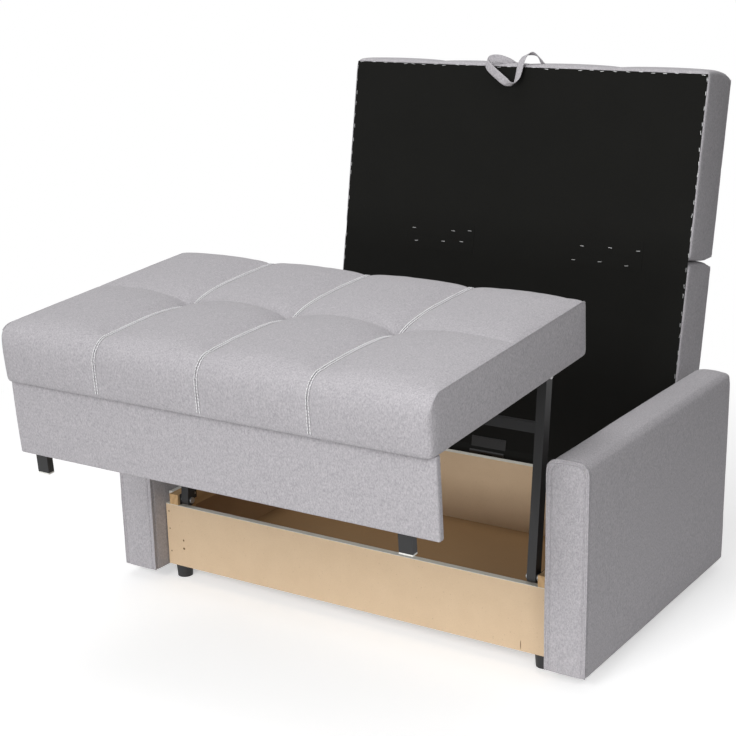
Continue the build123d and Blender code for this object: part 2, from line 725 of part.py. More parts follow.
with BuildPart(seat_plane) as seat_leg_caps:
    for x in leg_xs:
        slab((x - leg_width / 2, x + leg_width / 2), leg_y, (leg_sole_z, leg_sole_z + leg_cap_height))
keep(seat_leg_caps, "seat_leg_caps")

with BuildPart(seat_plane) as fascia_brackets:
    for x in bracket_xs:
        wide = (x - fascia_bracket_width / 2, x + fascia_bracket_width / 2)
        slab(wide, (fascia_y[1], fascia_y[1] + fascia_bracket_leg), (flange_bottom, cloth_under_seat))
        slab(wide, (fascia_y[1], fascia_y[1] + fascia_bracket_thickness),
             (cloth_under_seat - fascia_bracket_leg, cloth_under_seat))
keep(fascia_brackets, "fascia_brackets")

with BuildPart() as seat_bracket_screws:
    head_bottom = flange_bottom - plate_screw_head_height
    studs(seat_plane.offset(head_bottom), bracket_screw_spots, plate_screw_head_radius, plate_screw_head_height)
    studs(seat_plane.offset(flange_bottom), bracket_screw_spots, plate_screw_radius, fascia_bracket_thickness)
keep(seat_bracket_screws, "seat_bracket_screws")

# Base hinges between the rear rail and the panel's lower section
knuckle_half = hinge_width * knuckle_share / 2

with BuildPart() as base_hinge_fixed_leaves:
    for x in hinge_xs:
        leaf_x = (x - hinge_width / 2, x + hinge_width / 2)
        leaf_y = (rear_rail_rear_y, rear_rail_rear_y + hinge_leaf_thickness)
        slab(leaf_x, leaf_y, (hinge_z - hinge_leaf_height, hinge_z - hinge_to_underside))
        for low, high in ((leaf_x[0], x - knuckle_half - knuckle_gap), (x + knuckle_half + knuckle_gap, leaf_x[1])):
            slab((low, high), leaf_y, (hinge_z - hinge_to_underside, hinge_z))
            rod(ground, (hinge_y, hinge_z), low, high, knuckle_radius)
            rod(ground, (hinge_y, hinge_z), low, high, hinge_pin_radius, mode=Mode.SUBTRACT)
    studs(front_view(ground, leaf_y[1] + overrun), fixed_screw_spots, hinge_screw_radius + bore_gap,
          hinge_leaf_thickness + 2 * overrun, mode=Mode.SUBTRACT)
keep(base_hinge_fixed_leaves, "base_hinge_fixed_leaves")

leaf_screw_y = -hinge_leaf_length + hinge_screw_head_radius + hinge_screw_margin
moving_screw_spots = [(x + shift, leaf_screw_y) for x in hinge_xs
                      for shift in (-hinge_screw_pitch, 0, hinge_screw_pitch)]
leaf_bottom = hinge_to_underside - hinge_leaf_thickness

with BuildPart(panel_plane) as base_hinge_moving_leaves:
    for x in hinge_xs:
        slab((x - hinge_width / 2, x + hinge_width / 2), (-hinge_leaf_length, knuckle_radius),
             (leaf_bottom, hinge_to_underside))
        slab((x - knuckle_half, x + knuckle_half), (-knuckle_radius, knuckle_radius), (0, leaf_bottom))
        rod(panel_plane, (0, 0), x - knuckle_half, x + knuckle_half, knuckle_radius)
        rod(panel_plane, (0, 0), x - knuckle_half, x + knuckle_half, hinge_pin_radius + bore_gap,
            mode=Mode.SUBTRACT)
    studs(panel_plane.offset(leaf_bottom - overrun), moving_screw_spots, hinge_screw_radius + bore_gap,
          hinge_leaf_thickness + 2 * overrun, mode=Mode.SUBTRACT)
keep(base_hinge_moving_leaves, "base_hinge_moving_leaves")

with BuildPart() as base_hinge_pins:
    for x in hinge_xs:
        rod(ground, (hinge_y, hinge_z), x - hinge_width / 2, x + hinge_width / 2, hinge_pin_radius)
keep(base_hinge_pins, "base_hinge_pins")

with BuildPart() as rail_hinge_screws:
    head_plane = front_view(ground, leaf_y[1])
    studs(head_plane, fixed_screw_spots, hinge_screw_head_radius, -hinge_screw_head_height)
    studs(head_plane, fixed_screw_spots, hinge_screw_radius, hinge_leaf_thickness + hinge_screw_bite)
keep(rail_hinge_screws, "rail_hinge_screws")

with BuildPart() as panel_hinge_screws:
    studs(panel_plane.offset(leaf_bottom - hinge_screw_head_height), moving_screw_spots,
          hinge_screw_head_radius, hinge_screw_head_height)
    studs(panel_plane.offset(leaf_bottom), moving_screw_spots, hinge_screw_radius, hinge_leaf_thickness)
keep(panel_hinge_screws, "panel_hinge_screws")

# Stops behind the hinge, on which the raised panel leans
lean = radians(panel_lean)
stop_level = panel_rear_gap - stop_gap


def behind_hinge(back, up):
    """Point in side view, set off from the hinge along the raised panel's thickness and length."""
    return (hinge_y + back * cos(lean) + up * sin(lean), hinge_z - back * sin(lean) + up * cos(lean))


with BuildPart() as panel_stops:
    for x in (-stop_spread, stop_spread):
        with BuildSketch(side_view(ground, x - stop_width / 2)):
            with BuildLine():
                Polyline((rear_rail_rear_y, rear_rail_top_z - stop_foot_height),
                         (rear_rail_rear_y, rear_rail_top_z),
                         behind_hinge(stop_near, 0),
                         behind_hinge(stop_near, stop_level),
                         behind_hinge(stop_far, stop_level),
                         behind_hinge(stop_far, stop_level - stop_lip),
                         close=True)
            make_face()
        extrude(amount=stop_width)
keep(panel_stops, "panel_stops")

# Webbing straps across the fold
for section, y in (("lower", (fold_y + webbing_split / 2, fold_y + webbing_reach)),
                   ("upper", (fold_y - webbing_reach, fold_y - webbing_split / 2))):
    with BuildPart(panel_plane) as webbing:
        for x in (webbing_left_x, webbing_right_x):
            slab((x - webbing_width / 2, x + webbing_width / 2), y, webbing_z)
    keep(webbing, "fold_webbing_" + section)

# Pull strap: a loop that hangs from the top edge, and its two fixed ends over the edge
top_y = upper_y[0]
loop_top_y = top_y - strap_thickness
loop_z = hinge_to_underside - strap_gap - strap_thickness
with BuildPart() as pull_strap:
    with BuildSketch(panel_plane.offset(loop_z)):
        with Locations((strap_centre_x, top_y)):
            Ellipse(strap_half_span + strap_width / 2, strap_sag)
            Ellipse(strap_half_span - strap_width / 2, strap_sag - strap_width, mode=Mode.SUBTRACT)
        with Locations((strap_centre_x, loop_top_y - strap_sag / 2)):
            Rectangle(2 * strap_half_span + 2 * strap_width, strap_sag, mode=Mode.SUBTRACT)
    extrude(amount=strap_thickness)
keep(pull_strap, "pull_strap")

with BuildPart(panel_plane) as pull_strap_ends:
    for x in (strap_centre_x - strap_half_span, strap_centre_x + strap_half_span):
        slab((x - strap_width / 2, x + strap_width / 2), (loop_top_y, top_y),
             (loop_z + strap_thickness + strap_end_gap, hinge_to_underside + strap_end_length))
keep(pull_strap_ends, "pull_strap_ends")

print("upper pivot", round(upper_pivot_y, 2), round(upper_pivot_z, 2))
print("hinge", round(hinge_y, 2), round(hinge_z, 2))
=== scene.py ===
import bpy
import json
import math
import random
from mathutils import Matrix, Vector, noise


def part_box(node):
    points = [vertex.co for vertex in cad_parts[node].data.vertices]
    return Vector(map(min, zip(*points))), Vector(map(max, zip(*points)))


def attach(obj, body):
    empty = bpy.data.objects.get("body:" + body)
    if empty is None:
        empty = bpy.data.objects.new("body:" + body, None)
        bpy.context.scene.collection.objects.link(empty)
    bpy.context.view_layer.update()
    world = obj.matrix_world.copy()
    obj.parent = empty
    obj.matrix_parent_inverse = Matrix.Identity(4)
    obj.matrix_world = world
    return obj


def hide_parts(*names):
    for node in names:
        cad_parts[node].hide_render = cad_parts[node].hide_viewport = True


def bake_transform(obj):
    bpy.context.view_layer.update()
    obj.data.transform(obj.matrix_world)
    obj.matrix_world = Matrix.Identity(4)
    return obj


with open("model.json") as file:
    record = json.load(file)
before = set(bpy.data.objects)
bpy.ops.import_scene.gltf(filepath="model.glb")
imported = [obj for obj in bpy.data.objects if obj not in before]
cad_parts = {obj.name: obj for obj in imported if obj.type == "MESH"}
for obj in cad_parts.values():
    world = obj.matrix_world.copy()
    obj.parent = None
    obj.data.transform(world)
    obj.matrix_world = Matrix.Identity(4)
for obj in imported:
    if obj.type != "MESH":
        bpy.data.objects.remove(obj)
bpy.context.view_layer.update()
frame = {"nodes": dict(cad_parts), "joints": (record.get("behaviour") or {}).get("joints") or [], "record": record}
scene = bpy.context.scene
joints = {joint["name"]: joint for joint in frame["joints"]}
mm = 0.001
print("frame loaded:", len(frame["nodes"]), "nodes")


# Shader maths as plain expressions on sockets
class Wire:
    def __init__(self, tree, socket):
        self.tree = tree
        self.socket = socket

    def sum(self, operation, *others):
        return make(self.tree, "ShaderNodeMath", {"operation": operation}, [self, *others])

    def __add__(self, other): return self.sum("ADD", other)
    def __radd__(self, other): return self.sum("ADD", other)
    def __sub__(self, other): return self.sum("SUBTRACT", other)
    def __mul__(self, other): return self.sum("MULTIPLY", other)
    def __rmul__(self, other): return self.sum("MULTIPLY", other)
    def __truediv__(self, other): return self.sum("DIVIDE", other)
    def __rsub__(self, other): return make(self.tree, "ShaderNodeMath", {"operation": "SUBTRACT"}, [other, self])


def make(tree, kind, settings=None, values=None, out=0):
    node = tree.nodes.new(kind)
    stops = (settings or {}).pop("stops", None)
    for key, value in (settings or {}).items():
        setattr(node, key, value)
    if stops:
        while len(node.color_ramp.elements) < len(stops):
            node.color_ramp.elements.new(0.5)
        for element, (position, colour) in zip(node.color_ramp.elements, stops):
            element.position = position
            element.color = (*colour, 1) if len(colour) == 3 else colour
    pairs = values.items() if isinstance(values, dict) else enumerate(values or [])
    for key, value in pairs:
        socket = node.inputs[key]
        if isinstance(value, Wire):
            tree.links.new(value.socket, socket)
        else:
            socket.default_value = value
    return Wire(tree, node.outputs[out]) if node.outputs else None


def linear(r, g, b):
    return tuple(((c / 255 + 0.055) / 1.055) ** 2.4 if c > 10 else c / 255 / 12.92 for c in (r, g, b))


def blendColours(tree, mask, first, second):
    first = (*first, 1) if isinstance(first, tuple) else first
    second = (*second, 1) if isinstance(second, tuple) else second
    return make(tree, "ShaderNodeMix", {"data_type": "RGBA"}, {0: mask, 6: first, 7: second}, out=2)


def speckle(tree, place, scale, detail=2.0, roughness=0.5, distortion=0.0):
    return make(tree, "ShaderNodeTexNoise", {}, {"Vector": place, "Scale": scale, "Detail": detail,
                                                 "Roughness": roughness, "Distortion": distortion})


def stretched(tree, place, x, y, z):
    return make(tree, "ShaderNodeVectorMath", {"operation": "MULTIPLY"}, [place, (x, y, z)])


def newFinish(name):
    material = bpy.data.materials.new(name)
    material.use_nodes = True
    tree = material.node_tree
    shader = tree.nodes["Principled BSDF"]
    place = make(tree, "ShaderNodeTexCoord", {}, {}, out="Object")
    return material, tree, shader, place


def setShader(tree, shader, **inputs):
    for key, value in inputs.items():
        socket = shader.inputs[key.replace("_", " ")]
        if isinstance(value, Wire):
            tree.links.new(value.socket, socket)
        else:
            socket.default_value = value


def bumped(tree, height, distance, strength=1.0):
    return make(tree, "ShaderNodeBump", {}, {"Height": height, "Distance": distance, "Strength": strength})


# Grey mélange upholstery: light and dark yarns, a coarse weave and a soft nap
upholstery = {"light": linear(196, 193, 196), "middle": linear(175, 172, 176), "dark": linear(150, 147, 152),
              "fleckScale": 300.0, "blotchScale": 60.0, "weaveScale": 680.0}


def makeUpholstery():
    material, tree, shader, place = newFinish("greyMelange")
    flecks = speckle(tree, stretched(tree, place, 1, 1, 0.55), upholstery["fleckScale"], 3.0, 0.62)
    fibres = speckle(tree, place, upholstery["weaveScale"], 2.0, 0.6)
    blotches = speckle(tree, place, upholstery["blotchScale"], 3.0, 0.6)
    tone = make(tree, "ShaderNodeValToRGB", {"stops": [(0.34, upholstery["dark"]), (0.5, upholstery["middle"]),
                                                       (0.66, upholstery["light"])]},
                [flecks * 0.58 + fibres * 0.34 + blotches * 0.08])
    height = fibres * 0.5 + flecks * 0.5
    setShader(tree, shader, Base_Color=tone, Roughness=0.93, Sheen_Weight=0.12, Sheen_Roughness=0.5,
              Normal=bumped(tree, height, 0.0007, 0.55))
    shader.inputs["Specular IOR Level"].default_value = 0.22
    return material


thread = {"dark": linear(228, 227, 229), "light": linear(246, 246, 247), "twistScale": 900.0}


def makeThread():
    material, tree, shader, place = newFinish("paleThread")
    twist = speckle(tree, place, thread["twistScale"], 2.0)
    tone = blendColours(tree, twist, thread["dark"], thread["light"])
    setShader(tree, shader, Base_Color=tone, Roughness=0.7, Normal=bumped(tree, twist, 0.0003, 0.5))
    return material


# Black spun cloth: a fine web of fibres with pressed dots
dustCloth = {"dark": linear(14, 14, 13), "light": linear(28, 28, 26), "webScale": 420.0, "dotScale": 520.0,
             "cloudScale": 7.0}


def makeDustCloth():
    material, tree, shader, place = newFinish("blackDustCloth")
    web = speckle(tree, place, dustCloth["webScale"], 3.0, 0.6)
    dots = make(tree, "ShaderNodeTexVoronoi", {}, {"Vector": place, "Scale": dustCloth["dotScale"]})
    clouds = speckle(tree, place, dustCloth["cloudScale"], 2.0)
    tone = blendColours(tree, web * 0.7 + clouds * 0.3, dustCloth["dark"], dustCloth["light"])
    setShader(tree, shader, Base_Color=tone, Roughness=0.95,
              Normal=bumped(tree, web * 0.5 + dots * 0.5, 0.0004, 0.4))
    shader.inputs["Specular IOR Level"].default_value = 0.15
    return material


# Raw fibreboard: tan, with fine chips and a few darker fibres
fibreboard = {
    "light": linear(228, 204, 173), "dark": linear(201, 174, 142), "chip": linear(158, 128, 96),
    "scar": linear(104, 78, 52), "chipScale": 330.0, "cloudScale": 14.0, "rareScale": 180.0,
    # x, z, half width and half height of each dent, nail mark and crack on the front board
    "scars": [(-0.5735, 0.0948, 0.0042, 0.0036), (-0.5735, 0.1205, 0.003, 0.0034), (-0.6225, 0.204, 0.0022, 0.003),
              (-0.6225, 0.15, 0.002, 0.0026), (-0.621, 0.079, 0.0022, 0.0026), (0.5385, 0.0545, 0.0013, 0.0135)],
}


def makeFibreboard(name, scars=()):
    material, tree, shader, place = newFinish(name)
    chips = speckle(tree, stretched(tree, place, 0.7, 1, 1), fibreboard["chipScale"], 4.0, 0.7)
    clouds = speckle(tree, place, fibreboard["cloudScale"], 4.0, 0.6)
    tone = blendColours(tree, chips * 0.55 + clouds * 0.45, fibreboard["dark"], fibreboard["light"])
    fibres = speckle(tree, place, fibreboard["rareScale"], 2.0)
    rare = make(tree, "ShaderNodeMapRange", {}, [fibres, 0.68, 0.76, 0.0, 0.35])
    tone = blendColours(tree, rare, tone, fibreboard["chip"])
    relief = chips
    if scars:
        boardX, boardZ = (make(tree, "ShaderNodeSeparateXYZ", {}, [place], out=axis) for axis in (0, 2))
        spots = []
        for x, z, halfWidth, halfHeight in scars:
            across, along = (boardX - x) / halfWidth, (boardZ - z) / halfHeight
            reach = across * across + along * along
            spots.append(make(tree, "ShaderNodeMapRange", {}, [reach, 0.5, 1.2, 1.0, 0.0]))
        scarred = spots[0]
        for spot in spots[1:]:
            scarred = scarred + spot
        tone = blendColours(tree, scarred, tone, fibreboard["scar"])
        relief = chips * 0.25 - scarred * 3.0
    setShader(tree, shader, Base_Color=tone, Roughness=0.82, Normal=bumped(tree, relief, 0.0004, 0.35))
    shader.inputs["Specular IOR Level"].default_value = 0.3
    return material


# Side boards: raw board with a white band on the front end and the top edge. The raw board's tan is a darker, shaded
# copy of the fibreboard tan: painted shade
paintedShadeBandedBoard = {"dark": linear(150, 118, 84), "light": linear(182, 150, 114), "band": linear(226, 224, 217),
               "bandInner": 0.9 * mm, "bandOuter": 0.6 * mm, "chipScale": 330.0, "cloudScale": 12.0}


def makePaintedShadeBandedBoard():
    material, tree, shader, place = newFinish("paintedShadeBandedSideBoard")
    chips = speckle(tree, place, paintedShadeBandedBoard["chipScale"], 4.0, 0.7)
    clouds = speckle(tree, place, paintedShadeBandedBoard["cloudScale"], 3.0)
    # the board tone is painted shade: tan fibreboard made darker, as if in shadow; the white band is the board's own
    # edge colour
    board = blendColours(tree, chips * 0.5 + clouds * 0.5, paintedShadeBandedBoard["dark"], paintedShadeBandedBoard["light"])
    low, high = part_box("box_side_boards")
    outer, inner = paintedShadeBandedBoard["bandOuter"], paintedShadeBandedBoard["bandInner"]
    y, z = (make(tree, "ShaderNodeSeparateXYZ", {}, [place], out=axis) for axis in (1, 2))
    ends = make(tree, "ShaderNodeMapRange", {}, [y, low.y + outer, low.y + inner, 1.0, 0.0])
    edge = make(tree, "ShaderNodeMapRange", {}, [z, high.z - inner, high.z - outer, 0.0, 1.0])
    banded = make(tree, "ShaderNodeMath", {"operation": "MAXIMUM"}, [ends, edge])
    tone = blendColours(tree, banded, board, paintedShadeBandedBoard["band"])
    setShader(tree, shader, Base_Color=tone, Roughness=0.78 - banded * 0.25, Normal=bumped(tree, chips, 0.0003, 0.35))
    return material


timber = {"light": linear(206, 172, 126), "dark": linear(182, 145, 100), "ringScale": 22.0, "fibreScale": 480.0}


def makeTimber():
    material, tree, shader, place = newFinish("planedPine")
    grain = make(tree, "ShaderNodeTexWave", {"wave_type": "RINGS", "rings_direction": "Y"},
                 {"Vector": stretched(tree, place, 1, 0.06, 1), "Scale": timber["ringScale"], "Distortion": 5.0,
                  "Detail": 3.0, "Detail Scale": 1.2})
    fibres = speckle(tree, stretched(tree, place, 1, 0.05, 1), timber["fibreScale"], 3.0)
    tone = blendColours(tree, grain * 0.6 + fibres * 0.4, timber["light"], timber["dark"])
    setShader(tree, shader, Base_Color=tone, Roughness=0.62, Normal=bumped(tree, fibres, 0.0003, 0.4))
    return material


edgeBand = {"dark": linear(206, 202, 190), "light": linear(232, 230, 222), "scuffScale": 160.0}


def makeEdgeBand():
    material, tree, shader, place = newFinish("paleEdgeBand")
    scuffs = speckle(tree, stretched(tree, place, 0.2, 1, 1), edgeBand["scuffScale"], 3.0)
    tone = blendColours(tree, scuffs, edgeBand["dark"], edgeBand["light"])
    setShader(tree, shader, Base_Color=tone, Roughness=0.5, Normal=bumped(tree, scuffs, 0.0002, 0.3))
    return material


hardboard = {"dark": linear(118, 88, 54), "light": linear(152, 120, 80), "fibreScale": 240.0, "cloudScale": 6.0}


def makeHardboard():
    material, tree, shader, place = newFinish("brownHardboard")
    fibres = speckle(tree, place, hardboard["fibreScale"], 4.0, 0.65)
    clouds = speckle(tree, place, hardboard["cloudScale"], 3.0)
    tone = blendColours(tree, fibres * 0.6 + clouds * 0.4, hardboard["dark"], hardboard["light"])
    setShader(tree, shader, Base_Color=tone, Roughness=0.6 + fibres * 0.15, Normal=bumped(tree, fibres, 0.0003, 0.4))
    return material


metal = {"gritScale": 810.0, "smudgeScale": 27.0}
plastic = {"grainScale": 900.0, "scuffScale": 45.0}


def makeMetal(name, base, worn, roughness, metallic):
    material, tree, shader, place = newFinish(name)
    grit = speckle(tree, place, metal["gritScale"], 2.0)
    smudges = speckle(tree, place, metal["smudgeScale"], 4.0, 0.6)
    tone = blendColours(tree, smudges, base, worn)
    setShader(tree, shader, Base_Color=tone, Metallic=metallic, Roughness=roughness + smudges * 0.16,
              Normal=bumped(tree, grit, 0.0001, 0.35))
    return material


def makePlastic(name, base, worn, roughness):
    material, tree, shader, place = newFinish(name)
    grain = speckle(tree, place, plastic["grainScale"], 2.0)
    scuffs = speckle(tree, place, plastic["scuffScale"], 4.0, 0.65)
    tone = blendColours(tree, scuffs, base, worn)
    setShader(tree, shader, Base_Color=tone, Roughness=roughness + scuffs * 0.2,
              Normal=bumped(tree, grain, 0.00012, 0.4))
    return material


finishes = {
    "grey_fabric": makeUpholstery(),
    "thread": makeThread(),
    "dust_cloth": makeDustCloth(),
    "webbing": makeDustCloth(),
    "raw_board": makeFibreboard("rawFibreboard"),
    "edge_band": makeEdgeBand(),
    "banded_board": makePaintedShadeBandedBoard(),
    "hardboard": makeHardboard(),
    "timber": makeTimber(),
    "black_plastic": makePlastic("blackPlastic", linear(20, 20, 21), linear(38, 38, 40), 0.42),
    "dark_steel": makeMetal("blackPowderCoat", linear(15, 15, 16), linear(29, 29, 30), 0.46, 0.0),
    "white_cap": makePlastic("whiteCap", linear(222, 221, 214), linear(236, 236, 231), 0.45),
    "zinc": makeMetal("zincPlate", linear(168, 169, 172), linear(204, 204, 202), 0.3, 0.9),
}
for part in frame["record"]["subparts"]:
    node = frame["nodes"][part["node"]]
    for materialSlot in node.material_slots:
        materialSlot.material = finishes[part["material_slot"]]
frontBoardFinish = makeFibreboard("scarredFibreboard", fibreboard["scars"])
for materialSlot in frame["nodes"]["box_front_board"].material_slots:
    materialSlot.material = frontBoardFinish
print("finishes made:", len(finishes) + 1)


# Frames in which the moving groups are drawn, as in the part's own sketches
def tilted(jointName, tilt):
    return Matrix.Translation(joints[jointName]["pos_m"]) @ Matrix.Rotation(math.radians(tilt), 4, "X")


leans = {"seat": 3.9, "panel": -100.1}
seatFrame = tilted("seat_level", leans["seat"])
panelFrame = tilted("panel_base", leans["panel"])
level = Matrix.Identity(4)


def localBox(node, place):
    points = [place.inverted() @ v.co for v in frame["nodes"][node].data.vertices]
    low = [min(p[axis] for p in points) for axis in range(3)]
    high = [max(p[axis] for p in points) for axis in range(3)]
    return Vector(low), Vector(high)


def addPiece(name, points, faces, body, slot, place=level, smooth=True, replaces=()):
    mesh = bpy.data.meshes.new(name)
    mesh.from_pydata([place @ Vector(p) for p in points], [], faces)
    mesh.update()
    piece = bpy.data.objects.new(name, mesh)
    scene.collection.objects.link(piece)
    mesh.materials.append(finishes[slot])
    if smooth:
        for face in mesh.polygons:
            face.use_smooth = True
    if body:
        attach(piece, body)
    "grey_fabric" if slot == "thread" else slot
    if replaces:
        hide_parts(*replaces)
    return piece


def marks(low, high, spacing, seams=(), fine=3 * mm, steps=3):
    # Even marks from low to high, with extra ones close to each seam
    near = [low, high]
    for seam in seams:
        near += [seam + fine * step for step in range(-steps, steps + 1)]
    near = sorted({round(m, 6) for m in near if low - 1e-6 <= m <= high + 1e-6})
    line = []
    for start, end in zip(near, near[1:]):
        pieces = max(1, round((end - start) / spacing))
        line += [start + (end - start) * step / pieces for step in range(pieces)]
    return line + [near[-1]]


def shell(xs, ys, zs):
    # Skin of a box on a lattice. Returns points, faces and the index of each lattice place on the skin
    index, points, faces = {}, [], []
    nx, ny, nz = len(xs) - 1, len(ys) - 1, len(zs) - 1

    def at(i, j, k):
        if (i, j, k) not in index:
            index[i, j, k] = len(points)
            points.append(Vector((xs[i], ys[j], zs[k])))
        return index[i, j, k]

    for i in range(nx):
        for j in range(ny):
            faces.append((at(i, j, nz), at(i + 1, j, nz), at(i + 1, j + 1, nz), at(i, j + 1, nz)))
            faces.append((at(i, j, 0), at(i, j + 1, 0), at(i + 1, j + 1, 0), at(i + 1, j, 0)))
    for i in range(nx):
        for k in range(nz):
            faces.append((at(i, 0, k), at(i + 1, 0, k), at(i + 1, 0, k + 1), at(i, 0, k + 1)))
            faces.append((at(i, ny, k), at(i, ny, k + 1), at(i + 1, ny, k + 1), at(i + 1, ny, k)))
    for j in range(ny):
        for k in range(nz):
            faces.append((at(0, j, k), at(0, j, k + 1), at(0, j + 1, k + 1), at(0, j + 1, k)))
            faces.append((at(nx, j, k), at(nx, j + 1, k), at(nx, j + 1, k + 1), at(nx, j, k + 1)))
    return points, faces, index


def roundPair(points, low, high, a, b, radii):
    # Rounds the four edges that run square to axes a and b. Radii go low-low, high-low, high-high, low-high
    corners = ((0, 0), (1, 0), (1, 1), (0, 1))
    for point in points:
        for (sideA, sideB), radius in zip(corners, radii):
            if not radius:
                continue
            centreA = high[a] - radius if sideA else low[a] + radius
            centreB = high[b] - radius if sideB else low[b] + radius
            offA = (point[a] - centreA) * (1 if sideA else -1)
            offB = (point[b] - centreB) * (1 if sideB else -1)
            if offA > 0 and offB > 0:
                shrink = max(offA, offB) / math.hypot(offA, offB)
                point[a] = centreA + (point[a] - centreA) * shrink
                point[b] = centreB + (point[b] - centreB) * shrink
                break


def meshNormals(points, faces):
    normals = [Vector() for _ in points]
    for face in faces:
        a, b, c, d = (points[corner] for corner in face)
        normal = (c - a).cross(d - b)
        for corner in face:
            normals[corner] += normal
    return [normal.normalized() for normal in normals]


def pinch(distance, width):
    return math.exp(-abs(distance) / width)


def wander(point, scale, seed=0.0):
    return noise.noise(Vector(point) * scale + Vector((seed, seed * 0.7, -seed)))


def domed(share, power):
    # Rises from 0 at either end of a span to 1 in its middle
    return max(0.0, math.sin(math.pi * min(max(share, 0), 1))) ** power


def nearest(values, target):
    return min(range(len(values)), key=lambda i: abs(values[i] - target))


def joined(points, faces, morePoints, moreFaces):
    faces += [tuple(corner + len(points) for corner in face) for face in moreFaces]
    points += morePoints


# Tufted cushions: channels along the depth, one seam across the middle, tufts where they cross
def cushionShape(shape, low, high):
    middle = (low.y + high.y) / 2
    top = low.z + shape["sideHeight"]
    xs = marks(low.x, high.x, shape["spacing"], shape["channels"] + [low.x, high.x], shape["stitchStep"])
    ys = marks(low.y, high.y, shape["spacing"], [middle, low.y, high.y])
    zs = marks(low.z, top, shape["spacing"], [top], steps=2)
    points, faces, index = shell(xs, ys, zs)
    upper = Vector((high.x, high.y, top))
    bottom = shape["bottomRadius"]
    roundPair(points, low, upper, 1, 2, (bottom, bottom, shape["rearRadius"], shape["frontRadius"]))
    roundPair(points, low, upper, 0, 2, (bottom, bottom, shape["sideRadius"], shape["sideRadius"]))
    roundPair(points, low, upper, 0, 1, (shape["cornerRadius"],) * 4)
    normals = meshNormals(points, faces)
    halfWidth = (high.x - low.x) / 2
    halfDepth = (high.y - low.y) / 2
    edges = [low.x] + shape["channels"] + [high.x]
    moved = []
    for point, normal in zip(points, normals):
        x, y, z = point
        up = max(0.0, normal.z)
        skin = min(1.0, up + abs(normal.y))
        column = max(i for i, edge in enumerate(edges[:-1]) if x >= edge - 1e-9)
        across = min(max((x - edges[column]) / (edges[column + 1] - edges[column]), 0.0), 1.0)
        along = min(abs(y - middle) / halfDepth, 1.0)
        height = min(max((z - low.z) / (top - low.z), 0.0), 1.0)
        filled = math.sin(math.pi / 2 * min(1.0, height * shape["fillRate"]))
        columnPuff = max(0.0, math.sin(math.pi * across)) ** shape["columnRound"]
        rowPuff = math.sin(math.pi / 2 * min(1.0, along * shape["rowRate"])) ** shape["rowRound"]
        puff = columnPuff * (1 - shape["rowShare"] * (1 - rowPuff)) * (1 - shape["endFall"] * along ** 3)
        overall = (1 - (x / halfWidth) ** 4) * (1 - ((y - middle) / halfDepth) ** 4)
        rise = shape["dome"] * puff * filled + shape["crown"] * overall * up
        channel = max(pinch(x - c, shape["channelWidth"]) for c in shape["channels"])
        rise -= shape["channelDepth"] * channel * filled * (0.5 + 0.5 * up)
        rise -= shape["rowDepth"] * pinch(y - middle, shape["rowWidth"]) * up
        for c in shape["channels"]:
            away = math.hypot(x - c, y - middle)
            spokes = 1 + shape["spoke"] * math.cos(4 * math.atan2(y - middle, x - c) + c * 20)
            rise -= shape["tuftDepth"] * pinch(away, shape["tuftWidth"] * spokes) * up
        rise += shape["slowRipple"] * wander(point, 9) * overall + shape["quickRipple"] * wander(point, 30, 2) * up
        belly = math.sin(math.pi * height) ** shape["bellyRound"]
        rise += shape["frontPuff" if normal.y < 0 else "rearPuff"] * belly * abs(normal.y)
        side = shape["belly"] * belly + shape["sideRipple"] * wander(point, 12, 4)
        flat = 0.0 if normal.z < -0.5 else 1.0
        moved.append(point + normal * (rise * skin + side * (1 - skin)) * flat)
    return moved, faces, index, xs, ys, zs


def settle(piece, pins, shape):
    # Air pressure fills the cover between its sewn lines, then the result is kept
    group = piece.vertex_groups.new(name="sewn")
    for vertex, weight in enumerate(pins):
        if weight > 0:
            group.add([vertex], weight, "REPLACE")
    before = [v.co.copy() for v in piece.data.vertices]
    cloth = piece.modifiers.new("fill", "CLOTH")
    settings = cloth.settings
    settings.quality = 4
    settings.mass = 0.3
    settings.tension_stiffness = shape["stretch"]
    settings.compression_stiffness = shape["stretch"]
    settings.shear_stiffness = shape["stretch"] * 0.4
    settings.bending_stiffness = shape["bend"]
    settings.use_pressure = True
    settings.uniform_pressure_force = shape["pressure"]
    settings.vertex_group_mass = "sewn"
    settings.pin_stiffness = 1.0
    settings.effector_weights.gravity = 0
    cloth.collision_settings.use_collision = False
    cloth.point_cache.frame_start = 1
    cloth.point_cache.frame_end = shape["frames"]
    for step in range(1, shape["frames"] + 1):
        scene.frame_set(step)
    depsgraph = bpy.context.evaluated_depsgraph_get()
    filled = [v.co.copy() for v in piece.evaluated_get(depsgraph).data.vertices]
    piece.modifiers.remove(cloth)
    piece.vertex_groups.remove(group)
    scene.frame_set(1)
    for vertex, start, end in zip(piece.data.vertices, before, filled):
        shift = end - start
        if shift.length > shape["cap"]:
            shift *= shape["cap"] / shift.length
        vertex.co = start + shift
    piece.data.update()


def smoothOnce(piece):
    modifier = piece.modifiers.new("smooth", "SUBSURF")
    modifier.levels = modifier.render_levels = 1
    modifier.subdivision_type = "CATMULL_CLARK"
    depsgraph = bpy.context.evaluated_depsgraph_get()
    mesh = bpy.data.meshes.new_from_object(piece.evaluated_get(depsgraph))
    piece.modifiers.remove(modifier)
    old = piece.data
    piece.data = mesh
    bpy.data.meshes.remove(old)
    for face in mesh.polygons:
        face.use_smooth = True


